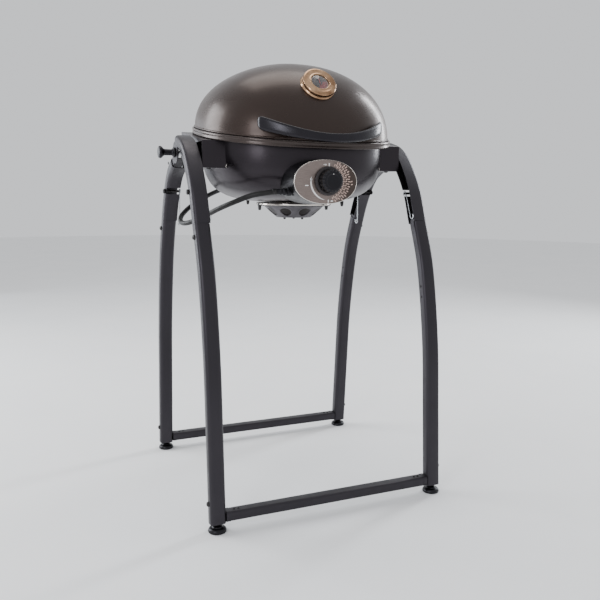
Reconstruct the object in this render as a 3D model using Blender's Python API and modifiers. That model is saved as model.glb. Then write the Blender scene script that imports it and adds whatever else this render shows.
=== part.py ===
"""Portable gas barbecue on a folding four-leg stand.

Frame of the model: metres, +Z up, origin on the floor midway between the feet,
-Y is the cook's side (control knob and lid handle), +X is to the cook's right.
"""
import math

import bmesh
import bpy
from mathutils import Matrix, Vector

# ---------------------------------------------------------------- driving dimensions
GAP = 0.0003                    # clearance kept between pieces that touch

# Cooking head. The rim plane falls towards the cook.
RIM_Z = 0.8626                  # height of the lid seat over the origin
RIM_SLOPE = 0.155               # rise of the lid seat per metre towards +Y
PLAN_POWER = 2.3                # superellipse power of the plan outline
LID_HALF_X = 0.230
LID_HALF_Y = 0.213
LID_TOP_Z = 1.0205
LID_POWER = 2.1                 # superellipse power of the dome's outline
LID_WALL = 0.0025
LIP = 0.002                     # lid's folded lower edge, outward
LIP_TALL = 0.003
SEAT_GAP = 0.0006               # lid edge over the bowl's rim
BOWL_HALF_X = 0.2165
BOWL_HALF_Y = 0.194
BOWL_BOTTOM_Z = 0.696
BOWL_POWER = 3.8
BOWL_WALL = 0.003
RIM_OVERHANG = 0.006            # bowl's rim band beyond the lid
RIM_HEIGHT = 0.0145
RIM_WALL = 0.003
PLAN_SEGMENTS = 36

# Lid hinge, behind the bowl
HINGE_Y = 0.2312
HINGE_Z = 0.9000
KNUCKLE_RADIUS = 0.008
HINGE_PIN_RADIUS = 0.003

# Lid handle: a band on an arc in plan, lower in the middle
HANDLE_HALF_SPAN = 0.148
HANDLE_FRONT_Y = -0.2520
HANDLE_SAGITTA = 0.0740
HANDLE_LOW_Z = 0.8260
HANDLE_END_RISE = 0.0260
HANDLE_THICK = 0.012
HANDLE_TALL = 0.031
HANDLE_WAIST = 0.019              # how tall the band is in its middle
HANDLE_POST_X = 0.128

# Thermometer on the lid
THERMO_FACE = Vector((-0.004, -0.1780, 0.9610))
THERMO_TILT = math.radians(36)  # axis above the horizontal
THERMO_RADIUS = 0.0385
THERMO_WINDOW = 0.0205

# Control panel
PANEL_X = -0.0145
PANEL_Y = -0.2360               # back of the fascia plate
PANEL_Z = 0.7436
PANEL_HALF_X = 0.0745
PANEL_HALF_Z = 0.0470
PANEL_GROWTH = 1.05             # the housing widens towards the bowl
PANEL_WALL = 0.0025
FASCIA_THICK = 0.002
KNOB_X = -0.0105
KNOB_Z = 0.7455
KNOB_RADIUS = 0.0255
KNOB_DEPTH = 0.0240
STEM_RADIUS = 0.004
PUSH_TRAVEL = 0.003

# Under the bowl
CUP_PLATE_RADIUS = 0.0915
CUP_Y = -0.020
DRIP_RADIUS = 0.030

# Stand: every leg lies in a plane of constant X
LEG_X = 0.270
LEG_WIDE = 0.035                # along X
LEG_DEEP = 0.028                # in the leg's own plane
LEG_CORNER = 0.0085
TUBE_WALL = 0.0016
CHANNEL_WALL = 0.002
LEG_LOWER = ((0.2600, 0.0190), (0.2465, 0.2000), (0.2320, 0.3700), (0.2000, 0.5400),
             (0.1590, 0.6500))
LEG_UPPER = {-1: ((0.1275, 0.7280), (0.0830, 0.7890), (0.0440, 0.8200), (0.0000, 0.8335)),
             1: ((0.1250, 0.7150), (0.0860, 0.7610), (0.0400, 0.7861))}
SEAM_Z = 0.650                  # top of the closed tube, bottom of the channel
BAR_Z = 0.0325
BAR_TALL = 0.022
BAR_DEEP = 0.026
HUB_Y = 0.0
HUB_Z = 0.808
HUB_RADIUS = 0.025
HUB_PIN_RADIUS = 0.006
TONGUE_THICK = 0.0025
TONGUE_RADIUS = 0.019
NOTCH_Z = (0.7120, 0.7270)
PIN_Y = {-1: 0.1255, 1: 0.1160}  # cross pin behind the notch, front and rear
PIN_Z = 0.7192
PIN_RADIUS = 0.003
WIRE_RADIUS = 0.00125
HOOK_X = 0.2508
FOOT_Y = 0.2600
FOOT_RADIUS = 0.020

# Brackets that carry the bowl between the legs
CRADLE_HALF_Y = 0.096
CRADLE_BOTTOM_Z = 0.7725
CRADLE_OUTER_X = 0.2485
CRADLE_WALL = 0.004

# Cooking grates, in two halves
GRATE_Z = 0.8120                # underside
GRATE_THICK = 0.008
GRATE_HALF_X = 0.2020
GRATE_HALF_Y = 0.1740

# Gas hose, from the inlet elbow to the regulator behind the bowl
HOSE_RADIUS = 0.00575
HOSE_ROUTE = ((-0.1160, -0.2040, 0.7215), (-0.1360, -0.2010, 0.7190), (-0.1660, -0.1870, 0.7130),
              (-0.1940, -0.1560, 0.6990), (-0.2190, -0.1120, 0.6820), (-0.2400, -0.0560, 0.6620),
              (-0.2600, -0.0120, 0.6480), (-0.2685, 0.0260, 0.6465), (-0.2610, 0.0620, 0.6590),
              (-0.2350, 0.0890, 0.6790), (-0.2000, 0.1140, 0.6975), (-0.1620, 0.1450, 0.7130),
              (-0.1240, 0.1740, 0.7250), (-0.0790, 0.2030, 0.7390), (-0.0300, 0.2150, 0.7450),
              (0.0030, 0.2150, 0.7450))
REGULATOR = Vector((0.0300, 0.2150, 0.7450))

COLOURS = {                     # base colour, roughness, metallic
    "lid_enamel": ((0.060, 0.050, 0.046), 0.30, 0.3),
    "bowl_enamel": ((0.022, 0.020, 0.022), 0.35, 0.3),
    "handle_plastic": ((0.015, 0.015, 0.017), 0.35, 0.0),
    "copper_chrome": ((0.75, 0.48, 0.30), 0.15, 1.0),
    "dial_face": ((0.05, 0.05, 0.05), 0.5, 0.0),
    "needle_red": ((0.45, 0.05, 0.05), 0.4, 0.0),
    "clear_glass": ((0.8, 0.85, 0.85), 0.05, 0.0),
    "fascia_metal": ((0.24, 0.20, 0.18), 0.35, 1.0),
    "black_plastic": ((0.012, 0.012, 0.013), 0.4, 0.0),
    "brass": ((0.60, 0.45, 0.20), 0.3, 1.0),
    "stand_coat": ((0.030, 0.028, 0.030), 0.45, 0.2),
    "zinc_steel": ((0.62, 0.63, 0.65), 0.3, 1.0),
    "cast_iron": ((0.03, 0.03, 0.03), 0.7, 0.4),
    "cast_aluminium": ((0.35, 0.35, 0.36), 0.45, 1.0),
    "burner_steel": ((0.45, 0.44, 0.42), 0.4, 1.0),
    "hose_rubber": ((0.012, 0.012, 0.012), 0.6, 0.0),
    "ceramic": ((0.85, 0.83, 0.78), 0.4, 0.0),
}


# ---------------------------------------------------------------- scene set-up
for old in list(bpy.data.objects):
    bpy.data.objects.remove(old, do_unlink=True)

PARTS = bpy.data.collections.new("gas_barbecue")
CUTTERS = bpy.data.collections.new("cutters")
bpy.context.scene.collection.children.link(PARTS)
bpy.context.scene.collection.children.link(CUTTERS)


def material(slot):
    """The Principled material of one finish, made once."""
    found = bpy.data.materials.get(slot)
    if found:
        return found
    colour, roughness, metallic = COLOURS[slot]
    made = bpy.data.materials.new(slot)
    made.use_nodes = True
    shader = made.node_tree.nodes["Principled BSDF"]
    shader.inputs["Base Color"].default_value = (*colour, 1.0)
    shader.inputs["Roughness"].default_value = roughness
    shader.inputs["Metallic"].default_value = metallic
    return made


# ---------------------------------------------------------------- making objects
def mesh_object(name, mesh, slot=None, smooth=True):
    """Link a mesh as a part, or as a cutter when it has no material slot."""
    obj = bpy.data.objects.new(name, mesh)
    if slot:
        PARTS.objects.link(obj)
        mesh.materials.append(material(slot))
        if smooth:
            mesh.shade_smooth()
            mesh.set_sharp_from_angle(angle=math.radians(35))
    else:
        CUTTERS.objects.link(obj)
        obj.hide_render = True
        obj.display_type = "WIRE"
    return obj


def from_bmesh(name, bm, slot=None, smooth=True):
    """Turn a bmesh into an object with its faces pointing out."""
    bmesh.ops.recalc_face_normals(bm, faces=bm.faces)
    mesh = bpy.data.meshes.new(name)
    bm.to_mesh(mesh)
    bm.free()
    return mesh_object(name, mesh, slot, smooth)


def box(name, low, high, slot=None):
    """Axis-aligned box between two corners."""
    bm = bmesh.new()
    bmesh.ops.create_cube(bm, size=1.0)
    size = [high[i] - low[i] for i in range(3)]
    centre = [(high[i] + low[i]) / 2 for i in range(3)]
    bmesh.ops.scale(bm, vec=size, verts=bm.verts)
    bmesh.ops.translate(bm, vec=centre, verts=bm.verts)
    return from_bmesh(name, bm, slot, smooth=False)


def rod(name, start, end, radius, slot=None, segments=20, end_radius=None):
    """Cylinder or cone between two points."""
    start, end = Vector(start), Vector(end)
    axis = end - start
    bm = bmesh.new()
    bmesh.ops.create_cone(bm, cap_ends=True, segments=segments, radius1=radius,
                          radius2=radius if end_radius is None else end_radius,
                          depth=axis.length)
    turn = Vector((0, 0, 1)).rotation_difference(axis.normalized()).to_matrix().to_4x4()
    bmesh.ops.transform(bm, matrix=Matrix.Translation((start + end) / 2) @ turn, verts=bm.verts)
    return from_bmesh(name, bm, slot)


def turned(name, profile, origin, axis, slot=None, steps=24):
    """Turn a profile of (radius, height) points round an axis through origin.

    The profile runs down its outer side, from the top of the axis to its bottom.
    """
    mesh = bpy.data.meshes.new(name)
    closed = profile[0][0] > 0
    edges = [(i, i + 1) for i in range(len(profile) - 1)]
    if closed:
        edges.append((len(profile) - 1, 0))
    mesh.from_pydata([(r, 0.0, h) for r, h in profile], edges, [])
    obj = mesh_object(name, mesh, slot, smooth=False)
    obj.location = origin
    obj.rotation_mode = "QUATERNION"
    obj.rotation_quaternion = Vector((0, 0, 1)).rotation_difference(Vector(axis).normalized())
    screw = obj.modifiers.new("turn", "SCREW")
    screw.axis = "Z"
    screw.steps = steps
    screw.render_steps = steps
    screw.use_merge_vertices = True
    screw.merge_threshold = 0.00001
    screw.use_smooth_shade = True
    return obj


def wire(name, points, radius, slot, resolution=2, cyclic=False):
    """Round wire or tube through points, as a curve with filled ends."""
    curve = bpy.data.curves.new(name, "CURVE")
    curve.dimensions = "3D"
    curve.bevel_depth = radius
    curve.bevel_resolution = resolution
    curve.use_fill_caps = not cyclic
    spline = curve.splines.new("POLY")
    spline.points.add(len(points) - 1)
    for point, place in zip(spline.points, points):
        point.co = (*place, 1.0)
    spline.use_cyclic_u = cyclic
    curve.materials.append(material(slot))
    obj = bpy.data.objects.new(name, curve)
    PARTS.objects.link(obj)
    return obj


def flat_plate(name, outlines, thickness, slot):
    """Plate in the XY plane with holes: the first outline is the edge."""
    curve = bpy.data.curves.new(name, "CURVE")
    curve.dimensions = "2D"
    curve.fill_mode = "BOTH"
    curve.extrude = thickness / 2
    for outline in outlines:
        spline = curve.splines.new("POLY")
        spline.points.add(len(outline) - 1)
        for point, (x, y) in zip(spline.points, outline):
            point.co = (x, y, 0.0, 1.0)
        spline.use_cyclic_u = True
    curve.materials.append(material(slot))
    obj = bpy.data.objects.new(name, curve)
    PARTS.objects.link(obj)
    return obj


def boolean(target, tool, operation):
    """Add an exact Boolean modifier."""
    modifier = target.modifiers.new(operation.lower(), "BOOLEAN")
    modifier.operation = operation
    modifier.solver = "EXACT"
    modifier.object = tool


def cut(target, *tools):
    for tool in tools:
        boolean(target, tool, "DIFFERENCE")


def join(target, *tools):
    for tool in tools:
        boolean(target, tool, "UNION")


# ---------------------------------------------------------------- curves and sections
def catmull(points, steps):
    """Smooth curve through points, with the given number of steps per stretch."""
    points = [Vector(p) for p in points]
    padded = [2 * points[0] - points[1], *points, 2 * points[-1] - points[-2]]
    smooth = []
    for a, b, c, d in zip(padded, padded[1:], padded[2:], padded[3:]):
        for k in range(steps):
            t = k / steps
            smooth.append(0.5 * (2 * b + (c - a) * t + (2 * a - 5 * b + 4 * c - d) * t ** 2
                                 + (3 * b - a - 3 * c + d) * t ** 3))
    smooth.append(points[-1])
    return smooth


def even_points(curve, count):
    """Points at equal distances along a dense polyline."""
    run = [0.0]
    for a, b in zip(curve, curve[1:]):
        run.append(run[-1] + (b - a).length)
    spread = []
    index = 0
    for k in range(count):
        goal = run[-1] * k / (count - 1)
        while index < len(run) - 2 and run[index + 1] < goal:
            index += 1
        part = (goal - run[index]) / (run[index + 1] - run[index])
        spread.append(curve[index].lerp(curve[index + 1], min(max(part, 0.0), 1.0)))
    return spread


def rounded_rectangle(width, height, radius, steps=2):
    """Outline of a rectangle with round corners, counter-clockwise."""
    outline = []
    corners = ((1, 1, 0), (-1, 1, 90), (-1, -1, 180), (1, -1, 270))
    for sx, sy, first in corners:
        for k in range(steps + 1):
            angle = math.radians(first + 90 * k / steps)
            outline.append((sx * (width / 2 - radius) + radius * math.cos(angle),
                            sy * (height / 2 - radius) + radius * math.sin(angle)))
    return outline


def unit_superellipse(power, count, start=0.0, span=2 * math.pi, closed=True):
    """Points of a unit superellipse, as (x, y)."""
    points = []
    for k in range(count):
        angle = start + span * k / (count if closed else count - 1)
        c, s = math.cos(angle), math.sin(angle)
        points.append((math.copysign(abs(c) ** (2 / power), c),
                       math.copysign(abs(s) ** (2 / power), s)))
    return points


def loft(name, rings, slot=None):
    """Closed body through rings of points; a ring of one point is a pole."""
    bm = bmesh.new()
    levels = [[bm.verts.new(p) for p in ring] for ring in rings]
    for low, high in zip(levels, levels[1:]):
        count = max(len(low), len(high))
        for k in range(count):
            n = (k + 1) % count
            if len(low) == 1:
                bm.faces.new((low[0], high[n], high[k]))
            elif len(high) == 1:
                bm.faces.new((low[k], low[n], high[0]))
            else:
                bm.faces.new((low[k], low[n], high[n], high[k]))
    return from_bmesh(name, bm, slot)


def sweep(name, stations, outer, inner=None, slot=None):
    """Closed body of a section along stations of (origin, u axis, v axis).

    With an inner outline it is a tube that is open at both ends.
    """
    bm = bmesh.new()

    def skin(outline):
        return [[bm.verts.new(o + u * a + v * b) for a, b in outline] for o, u, v in stations]

    def walls(levels):
        count = len(levels[0])
        for low, high in zip(levels, levels[1:]):
            for k in range(count):
                n = (k + 1) % count
                bm.faces.new((low[k], low[n], high[n], high[k]))

    shell = skin(outer)
    walls(shell)
    if inner:
        core = skin(inner)
        walls(core)
        for end in (0, -1):
            walls([shell[end], core[end]])
    else:
        bm.faces.new(shell[0])
        bm.faces.new(shell[-1])
    return from_bmesh(name, bm, slot)


# ---------------------------------------------------------------- cooking head
def rim_height(y):
    return RIM_Z + RIM_SLOPE * y


def plan_ring(half_x, half_y, height, tilt):
    """Superellipse ring; tilt is its rise from the middle to its +Y end."""
    return [(half_x * x, half_y * y, height + tilt * y)
            for x, y in unit_superellipse(PLAN_POWER, PLAN_SEGMENTS)]


def bowed_rings(half_x, half_y, power, seat, end_z, count):
    """Rings of a dome or bowl from its seat towards the pole, which the caller adds."""
    rings = []
    for k in range(count):
        angle = math.pi / 2 * k / count
        rise = math.sin(angle) ** (2 / power)
        shrink = math.cos(angle) ** (2 / power)
        rings.append(plan_ring(half_x * shrink, half_y * shrink,
                               seat * (1 - rise) + end_z * rise,
                               RIM_SLOPE * half_y * (1 - rise)))
    return rings


def lid_outer_rings(extra=0.0, count=10):
    """Outer side of the lid from its seat upwards, with the folded lower edge."""
    wide_x, wide_y = LID_HALF_X + LIP + extra, LID_HALF_Y + LIP + extra
    rings = bowed_rings(LID_HALF_X + extra, LID_HALF_Y + extra, LID_POWER, RIM_Z,
                        LID_TOP_Z + extra, count)
    rings[0] = plan_ring(LID_HALF_X + extra, LID_HALF_Y + extra, RIM_Z + LIP_TALL + 0.0012,
                         RIM_SLOPE * LID_HALF_Y)
    return [plan_ring(wide_x, wide_y, RIM_Z - extra, RIM_SLOPE * wide_y),
            plan_ring(wide_x, wide_y, RIM_Z + LIP_TALL + extra, RIM_SLOPE * wide_y), *rings]


def bowl_outer_rings(extra=0.0, count=8):
    return bowed_rings(BOWL_HALF_X + extra, BOWL_HALF_Y + extra, BOWL_POWER,
                       RIM_Z - SEAT_GAP - RIM_WALL, BOWL_BOTTOM_Z - extra, count)


def bowl_cutter():
    """The bowl's outside, grown by the clearance, as a solid."""
    rings = bowl_outer_rings(GAP)
    lifted = plan_ring(BOWL_HALF_X + GAP, BOWL_HALF_Y + GAP, RIM_Z + 0.02,
                       RIM_SLOPE * BOWL_HALF_Y)
    return loft("bowl_outside", [[(0, 0, RIM_Z + 0.02)], lifted, *rings,
                                 [(0, 0, BOWL_BOTTOM_Z - GAP)]])


def lid_cutter():
    """The lid's outside, grown by the clearance, as a solid."""
    rings = lid_outer_rings(GAP)
    return loft("lid_outside", [[(0, 0, RIM_Z - 0.03)], *rings, [(0, 0, LID_TOP_Z + GAP)]])


BOWL_OUTSIDE = bowl_cutter()
LID_OUTSIDE = lid_cutter()
THERMO_AXIS = Vector((0, -math.cos(THERMO_TILT), math.sin(THERMO_TILT)))


def make_lid():
    inner = bowed_rings(LID_HALF_X - LID_WALL, LID_HALF_Y - LID_WALL, LID_POWER, RIM_Z,
                        LID_TOP_Z - LID_WALL, 6)
    rings = [[(0, 0, LID_TOP_Z - LID_WALL)], *reversed(inner), *lid_outer_rings(),
             [(0, 0, LID_TOP_Z)]]
    lid = loft("lid", rings, "lid_enamel")
    probe_hole = rod("probe_hole", THERMO_FACE, THERMO_FACE - 0.06 * THERMO_AXIS, 0.0042)
    cut(lid, probe_hole)


def make_bowl():
    seat = RIM_Z - SEAT_GAP
    wide_x, wide_y = LID_HALF_X + RIM_OVERHANG, LID_HALF_Y + RIM_OVERHANG
    thin_x, thin_y = wide_x - RIM_WALL, wide_y - RIM_WALL
    inner = bowed_rings(BOWL_HALF_X - BOWL_WALL, BOWL_HALF_Y - BOWL_WALL, BOWL_POWER, seat,
                        BOWL_BOTTOM_Z + BOWL_WALL, 7)
    band = [plan_ring(wide_x - 0.002, wide_y - 0.002, seat, RIM_SLOPE * wide_y),
            plan_ring(wide_x, wide_y, seat - 0.002, RIM_SLOPE * wide_y),
            plan_ring(wide_x, wide_y, RIM_Z - RIM_HEIGHT, RIM_SLOPE * wide_y),
            plan_ring(thin_x, thin_y, RIM_Z - RIM_HEIGHT, RIM_SLOPE * thin_y),
            plan_ring(thin_x, thin_y, seat - RIM_WALL, RIM_SLOPE * thin_y)]
    rings = [[(0, 0, BOWL_BOTTOM_Z + BOWL_WALL)], *reversed(inner), *band, *bowl_outer_rings(),
             [(0, 0, BOWL_BOTTOM_Z)]]
    bowl = loft("bowl", rings, "bowl_enamel")
    drip = rod("drip_hole", (0, CUP_Y, BOWL_BOTTOM_Z - 0.01), (0, CUP_Y, BOWL_BOTTOM_Z + 0.02),
               DRIP_RADIUS)
    supply = rod("supply_hole", (KNOB_X, -0.25, KNOB_Z), (KNOB_X, -0.12, KNOB_Z), 0.0125)
    cut(bowl, drip, supply)


def make_hinge():
    axis = Vector((0, HINGE_Y, HINGE_Z))
    reach = 0.055
    inner_end = 0.0215
    bracket = box("rear_hinge_bracket", (-reach, 0.2195, 0.8770), (reach, 0.2225, 0.8935),
                  "bowl_enamel")
    pin_hole = rod("hinge_pin_hole", axis - Vector((0.09, 0, 0)), axis + Vector((0.09, 0, 0)),
                   HINGE_PIN_RADIUS + GAP)
    for side in (-1, 1):
        ends = sorted((side * inner_end, side * reach))
        knuckle = rod("bracket_knuckle", (ends[0], axis.y, axis.z), (ends[1], axis.y, axis.z),
                      KNUCKLE_RADIUS)
        arm = box("bracket_arm", (ends[0], 0.2205, 0.8810), (ends[1], axis.y, 0.8960))
        join(bracket, knuckle, arm)
    cut(bracket, pin_hole)
    leaf = rod("lid_hinge_leaf", (-inner_end + 0.0007, axis.y, axis.z),
               (inner_end - 0.0007, axis.y, axis.z), KNUCKLE_RADIUS, "lid_enamel")
    pad = box("leaf_pad", (-inner_end + 0.0007, 0.2100, 0.9005),
              (inner_end - 0.0007, axis.y, 0.9070))
    strap = box("leaf_strap", (-inner_end + 0.0007, 0.2060, 0.9005),
                (inner_end - 0.0007, 0.2185, 0.9210))
    join(leaf, pad, strap)
    cut(leaf, LID_OUTSIDE, pin_hole)
    turned("hinge_pin", [(0, 0.060), (0.0030, 0.060), (0.0030, -0.057), (0.0052, -0.057),
                         (0.0052, -0.060), (0, -0.060)], axis, (1, 0, 0), "zinc_steel", 16)


def handle_tall(x):
    """How tall the handle band is at a given X."""
    return HANDLE_WAIST + (HANDLE_TALL - HANDLE_WAIST) * (x / HANDLE_HALF_SPAN) ** 2


def handle_point(x):
    """Middle of the handle band at a given X."""
    radius = (HANDLE_HALF_SPAN ** 2 + HANDLE_SAGITTA ** 2) / (2 * HANDLE_SAGITTA)
    y = HANDLE_FRONT_Y + radius - math.sqrt(radius ** 2 - x ** 2)
    low = HANDLE_LOW_Z + HANDLE_END_RISE * (x / HANDLE_HALF_SPAN) ** 2
    return Vector((x, y, low + handle_tall(x) / 2))


def make_handle():
    stations = []
    count = 19
    for k in range(count):
        x = HANDLE_HALF_SPAN * (2 * k / (count - 1) - 1)
        along = (handle_point(x + 0.001) - handle_point(x - 0.001))
        out = Vector((along.y, -along.x, 0)).normalized()
        ease = 1 - 0.30 * abs(x / HANDLE_HALF_SPAN) ** 6
        rise = ease * handle_tall(x) / HANDLE_TALL
        stations.append((handle_point(x), out * ease, Vector((0, 0, rise))))
    section = rounded_rectangle(HANDLE_THICK, HANDLE_TALL, 0.0045)
    sweep("lid_handle", stations, section, slot="handle_plastic")
    for side, word in ((-1, "left"), (1, "right")):
        middle = handle_point(side * HANDLE_POST_X)
        along = handle_point(side * HANDLE_POST_X + 0.001) - middle
        inward = Vector((-along.y, along.x, 0)).normalized()
        start = middle + inward * (HANDLE_THICK / 2 + GAP)
        post = rod("handle_post_" + word, start, start + inward * 0.022, 0.0065,
                   "handle_plastic", 16)
        cut(post, LID_OUTSIDE)


def make_thermometer():
    bezel = turned("thermometer_bezel",
                   [(THERMO_WINDOW, -0.0004), (0.0300, 0.0), (THERMO_RADIUS - 0.003, -0.0015),
                    (THERMO_RADIUS, -0.0055), (THERMO_RADIUS + 0.0090, -0.0320),
                    (0.0050, -0.0320), (0.0050, -0.0065), (THERMO_WINDOW, -0.0065)],
                   THERMO_FACE, THERMO_AXIS, "copper_chrome", 28)
    cut(bezel, LID_OUTSIDE)
    turned("thermometer_dial", [(0, -0.0046), (THERMO_WINDOW - GAP, -0.0046),
                                (THERMO_WINDOW - GAP, -0.0062), (0, -0.0062)],
           THERMO_FACE, THERMO_AXIS, "dial_face", 20)
    turned("thermometer_glass", [(0, -0.0012), (THERMO_WINDOW - GAP, -0.0012),
                                 (THERMO_WINDOW - GAP, -0.0026), (0, -0.0026)],
           THERMO_FACE, THERMO_AXIS, "clear_glass", 20)
    needle = box("thermometer_needle", (-0.0006, -0.0050, -0.0041), (0.0006, 0.0150, -0.0034),
                 "needle_red")
    needle.location = THERMO_FACE
    needle.rotation_mode = "QUATERNION"
    needle.rotation_quaternion = Vector((0, 0, 1)).rotation_difference(THERMO_AXIS)
    turned("thermometer_probe", [(0, -0.0066), (0.0030, -0.0066), (0.0030, -0.0620),
                                 (0.0018, -0.0650), (0, -0.0650)],
           THERMO_FACE, THERMO_AXIS, "burner_steel", 16)


# ---------------------------------------------------------------- control panel
def panel_ring(scale, y, inset=0.0):
    return [(PANEL_X + (PANEL_HALF_X * scale - inset) * x, y,
             PANEL_Z + (PANEL_HALF_Z * scale - inset) * z)
            for x, z in unit_superellipse(2.15, 32)]


def make_control_panel():
    front, back = PANEL_Y + GAP, -0.150
    housing = loft("control_housing_raw", [
        panel_ring(0.985, front), panel_ring(1.0, front + 0.004), panel_ring(PANEL_GROWTH, back),
        panel_ring(PANEL_GROWTH, back, PANEL_WALL), panel_ring(1.0, front + 0.004, PANEL_WALL),
        panel_ring(0.985, front, PANEL_WALL), panel_ring(0.985, front)], None)
    bm = bmesh.new()
    bm.from_mesh(housing.data)
    bmesh.ops.remove_doubles(bm, verts=bm.verts, dist=0.00001)
    bpy.data.objects.remove(housing)
    housing = from_bmesh("control_housing", bm, "black_plastic")
    inlet_hole = rod("inlet_hole", (-0.115, -0.2040, 0.7215), (-0.060, -0.2040, 0.7215), 0.0090)
    cut(housing, BOWL_OUTSIDE, inlet_hole)

    fascia = loft("control_fascia", [
        [(PANEL_X, PANEL_Y, PANEL_Z)], panel_ring(0.985, PANEL_Y), panel_ring(1.0, PANEL_Y - 0.0007),
        panel_ring(0.985, PANEL_Y - FASCIA_THICK), [(PANEL_X, PANEL_Y - FASCIA_THICK, PANEL_Z)]],
        "fascia_metal")
    stem_hole = rod("stem_hole", (KNOB_X, PANEL_Y - 0.01, KNOB_Z), (KNOB_X, PANEL_Y + 0.01, KNOB_Z),
                    STEM_RADIUS + 0.0015)
    cut(fascia, stem_hole)

    valve = rod("gas_valve", (KNOB_X, PANEL_Y + 0.006, KNOB_Z), (KNOB_X, PANEL_Y + 0.046, KNOB_Z),
                0.0125, "brass", 20)
    valve_inlet = rod("valve_inlet", (-0.0675, -0.2040, 0.7215), (KNOB_X, -0.2040, 0.7400),
                      0.0055)
    stem_bore = rod("stem_bore", (KNOB_X, PANEL_Y - 0.01, KNOB_Z), (KNOB_X, PANEL_Y + 0.022, KNOB_Z),
                    STEM_RADIUS + GAP)
    join(valve, valve_inlet)
    cut(valve, stem_bore)

    rod("valve_stem", (KNOB_X, PANEL_Y - 0.0140, KNOB_Z), (KNOB_X, PANEL_Y + 0.0180, KNOB_Z),
        STEM_RADIUS, "zinc_steel", 16)

    base = PANEL_Y - FASCIA_THICK - PUSH_TRAVEL - 0.0010
    turned("control_knob",
           [(0, KNOB_DEPTH), (0.0150, KNOB_DEPTH), (KNOB_RADIUS - 0.0040, KNOB_DEPTH - 0.0008),
            (KNOB_RADIUS - 0.0012, KNOB_DEPTH - 0.0035), (KNOB_RADIUS, 0.0035),
            (0.0300, 0.0018), (0.0315, 0.0), (STEM_RADIUS + GAP, 0.0),
            (STEM_RADIUS + GAP, 0.0120), (0, 0.0120)],
           (KNOB_X, base, KNOB_Z), (0, -1, 0), "black_plastic", 28)


# ---------------------------------------------------------------- gas train and burner
def make_gas_train():
    inlet = Vector((-0.0705, -0.2040, 0.7215))
    turned("gas_inlet_fitting",
           [(0, 0.0440), (0.0062, 0.0440), (0.0062, 0.0300), (0.0078, 0.0300), (0.0078, 0.0200),
            (0.0085, 0.0200), (0.0085, 0.0), (0, 0.0)], inlet, (-1, 0, 0), "black_plastic", 20)
    smooth = catmull(HOSE_ROUTE, 12)
    wire("gas_hose", even_points(smooth, 44), HOSE_RADIUS, "hose_rubber")
    start = Vector(HOSE_ROUTE[-1])
    turned("hose_nut", [(0, 0.0150), (0.0100, 0.0150), (0.0110, 0.0140), (0.0110, 0.0010),
                        (0.0100, 0.0), (0, 0.0)],
           start + Vector((2 * GAP, 0, 0)), (1, 0, 0), "brass", 12)
    turned("gas_regulator",
           [(0, 0.0170), (0.0150, 0.0170), (0.0170, 0.0140), (0.0170, 0.0060), (0.0235, 0.0040),
            (0.0250, 0.0020), (0.0250, -0.0060), (0.0235, -0.0080), (0, -0.0080)],
           REGULATOR + Vector((0.0140, 0.0050, 0)), (0, 1, 0), "cast_aluminium", 20)
    clip = box("regulator_clip", (0.0300, 0.1500, 0.7370), (0.0580, 0.2110, 0.7530), "zinc_steel")
    cut(clip, BOWL_OUTSIDE)


def make_burner():
    ring = [(0.105 * math.cos(a), -0.005 + 0.085 * math.sin(a), KNOB_Z)
            for a in (2 * math.pi * k / 28 for k in range(28))]
    wire("burner_ring", ring, 0.009, "burner_steel", cyclic=True)
    turned("burner_venturi",
           [(0, 0.0745), (0.0075, 0.0745), (0.0075, 0.0200), (0.0100, 0.0120), (0.0100, 0.0),
            (0, 0.0)],
           (KNOB_X, PANEL_Y + 0.0470, KNOB_Z), (0, 1, 0), "burner_steel", 20)
    wire("ignition_electrode", [(0.035, -0.1180, 0.712), (0.035, -0.1180, 0.7560),
                                (0.035, -0.1120, 0.7640), (0.035, -0.1000, 0.7660)],
         0.0022, "ceramic")
    rings = [[(0, 0, 0.7960)], plan_ring(0.050, 0.040, 0.7930, 0), plan_ring(0.120, 0.100, 0.7800, 0),
             plan_ring(0.135, 0.112, 0.7700, 0), plan_ring(0.1335, 0.1105, 0.7690, 0),
             plan_ring(0.118, 0.098, 0.7785, 0), plan_ring(0.049, 0.039, 0.7914, 0),
             [(0, 0, 0.7943)]]
    loft("flame_tamer", rings, "burner_steel")


def make_grate(side, word):
    """Half of the cooking grate: a slotted casting with a round outer edge."""
    gap = 0.0010
    edge = [(side * GRATE_HALF_X * x, GRATE_HALF_Y * y)
            for x, y in unit_superellipse(PLAN_POWER, 21, -math.pi / 2, math.pi, closed=False)]
    edge = [(side * max(abs(x), gap), y) for x, y in edge]
    outlines = [edge]
    slot_half = 0.0050
    count = 11
    for k in range(count):
        x = 0.0165 + 0.0168 * k
        tall = GRATE_HALF_Y * (1 - (min(x + 0.006, GRATE_HALF_X) / GRATE_HALF_X) ** PLAN_POWER)
        tall = GRATE_HALF_Y * (tall / GRATE_HALF_Y) ** (1 / PLAN_POWER) - 0.013
        if tall < 0.02:
            continue
        for low, high in ((-tall, -0.005), (0.005, tall)):
            outlines.append([(side * (x - slot_half), low), (side * (x + slot_half), low),
                             (side * (x + slot_half), high), (side * (x - slot_half), high)])
    grate = flat_plate("cooking_grate_" + word, outlines, GRATE_THICK, "cast_iron")
    grate.location = (0, 0, GRATE_Z + GRATE_THICK / 2)


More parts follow.
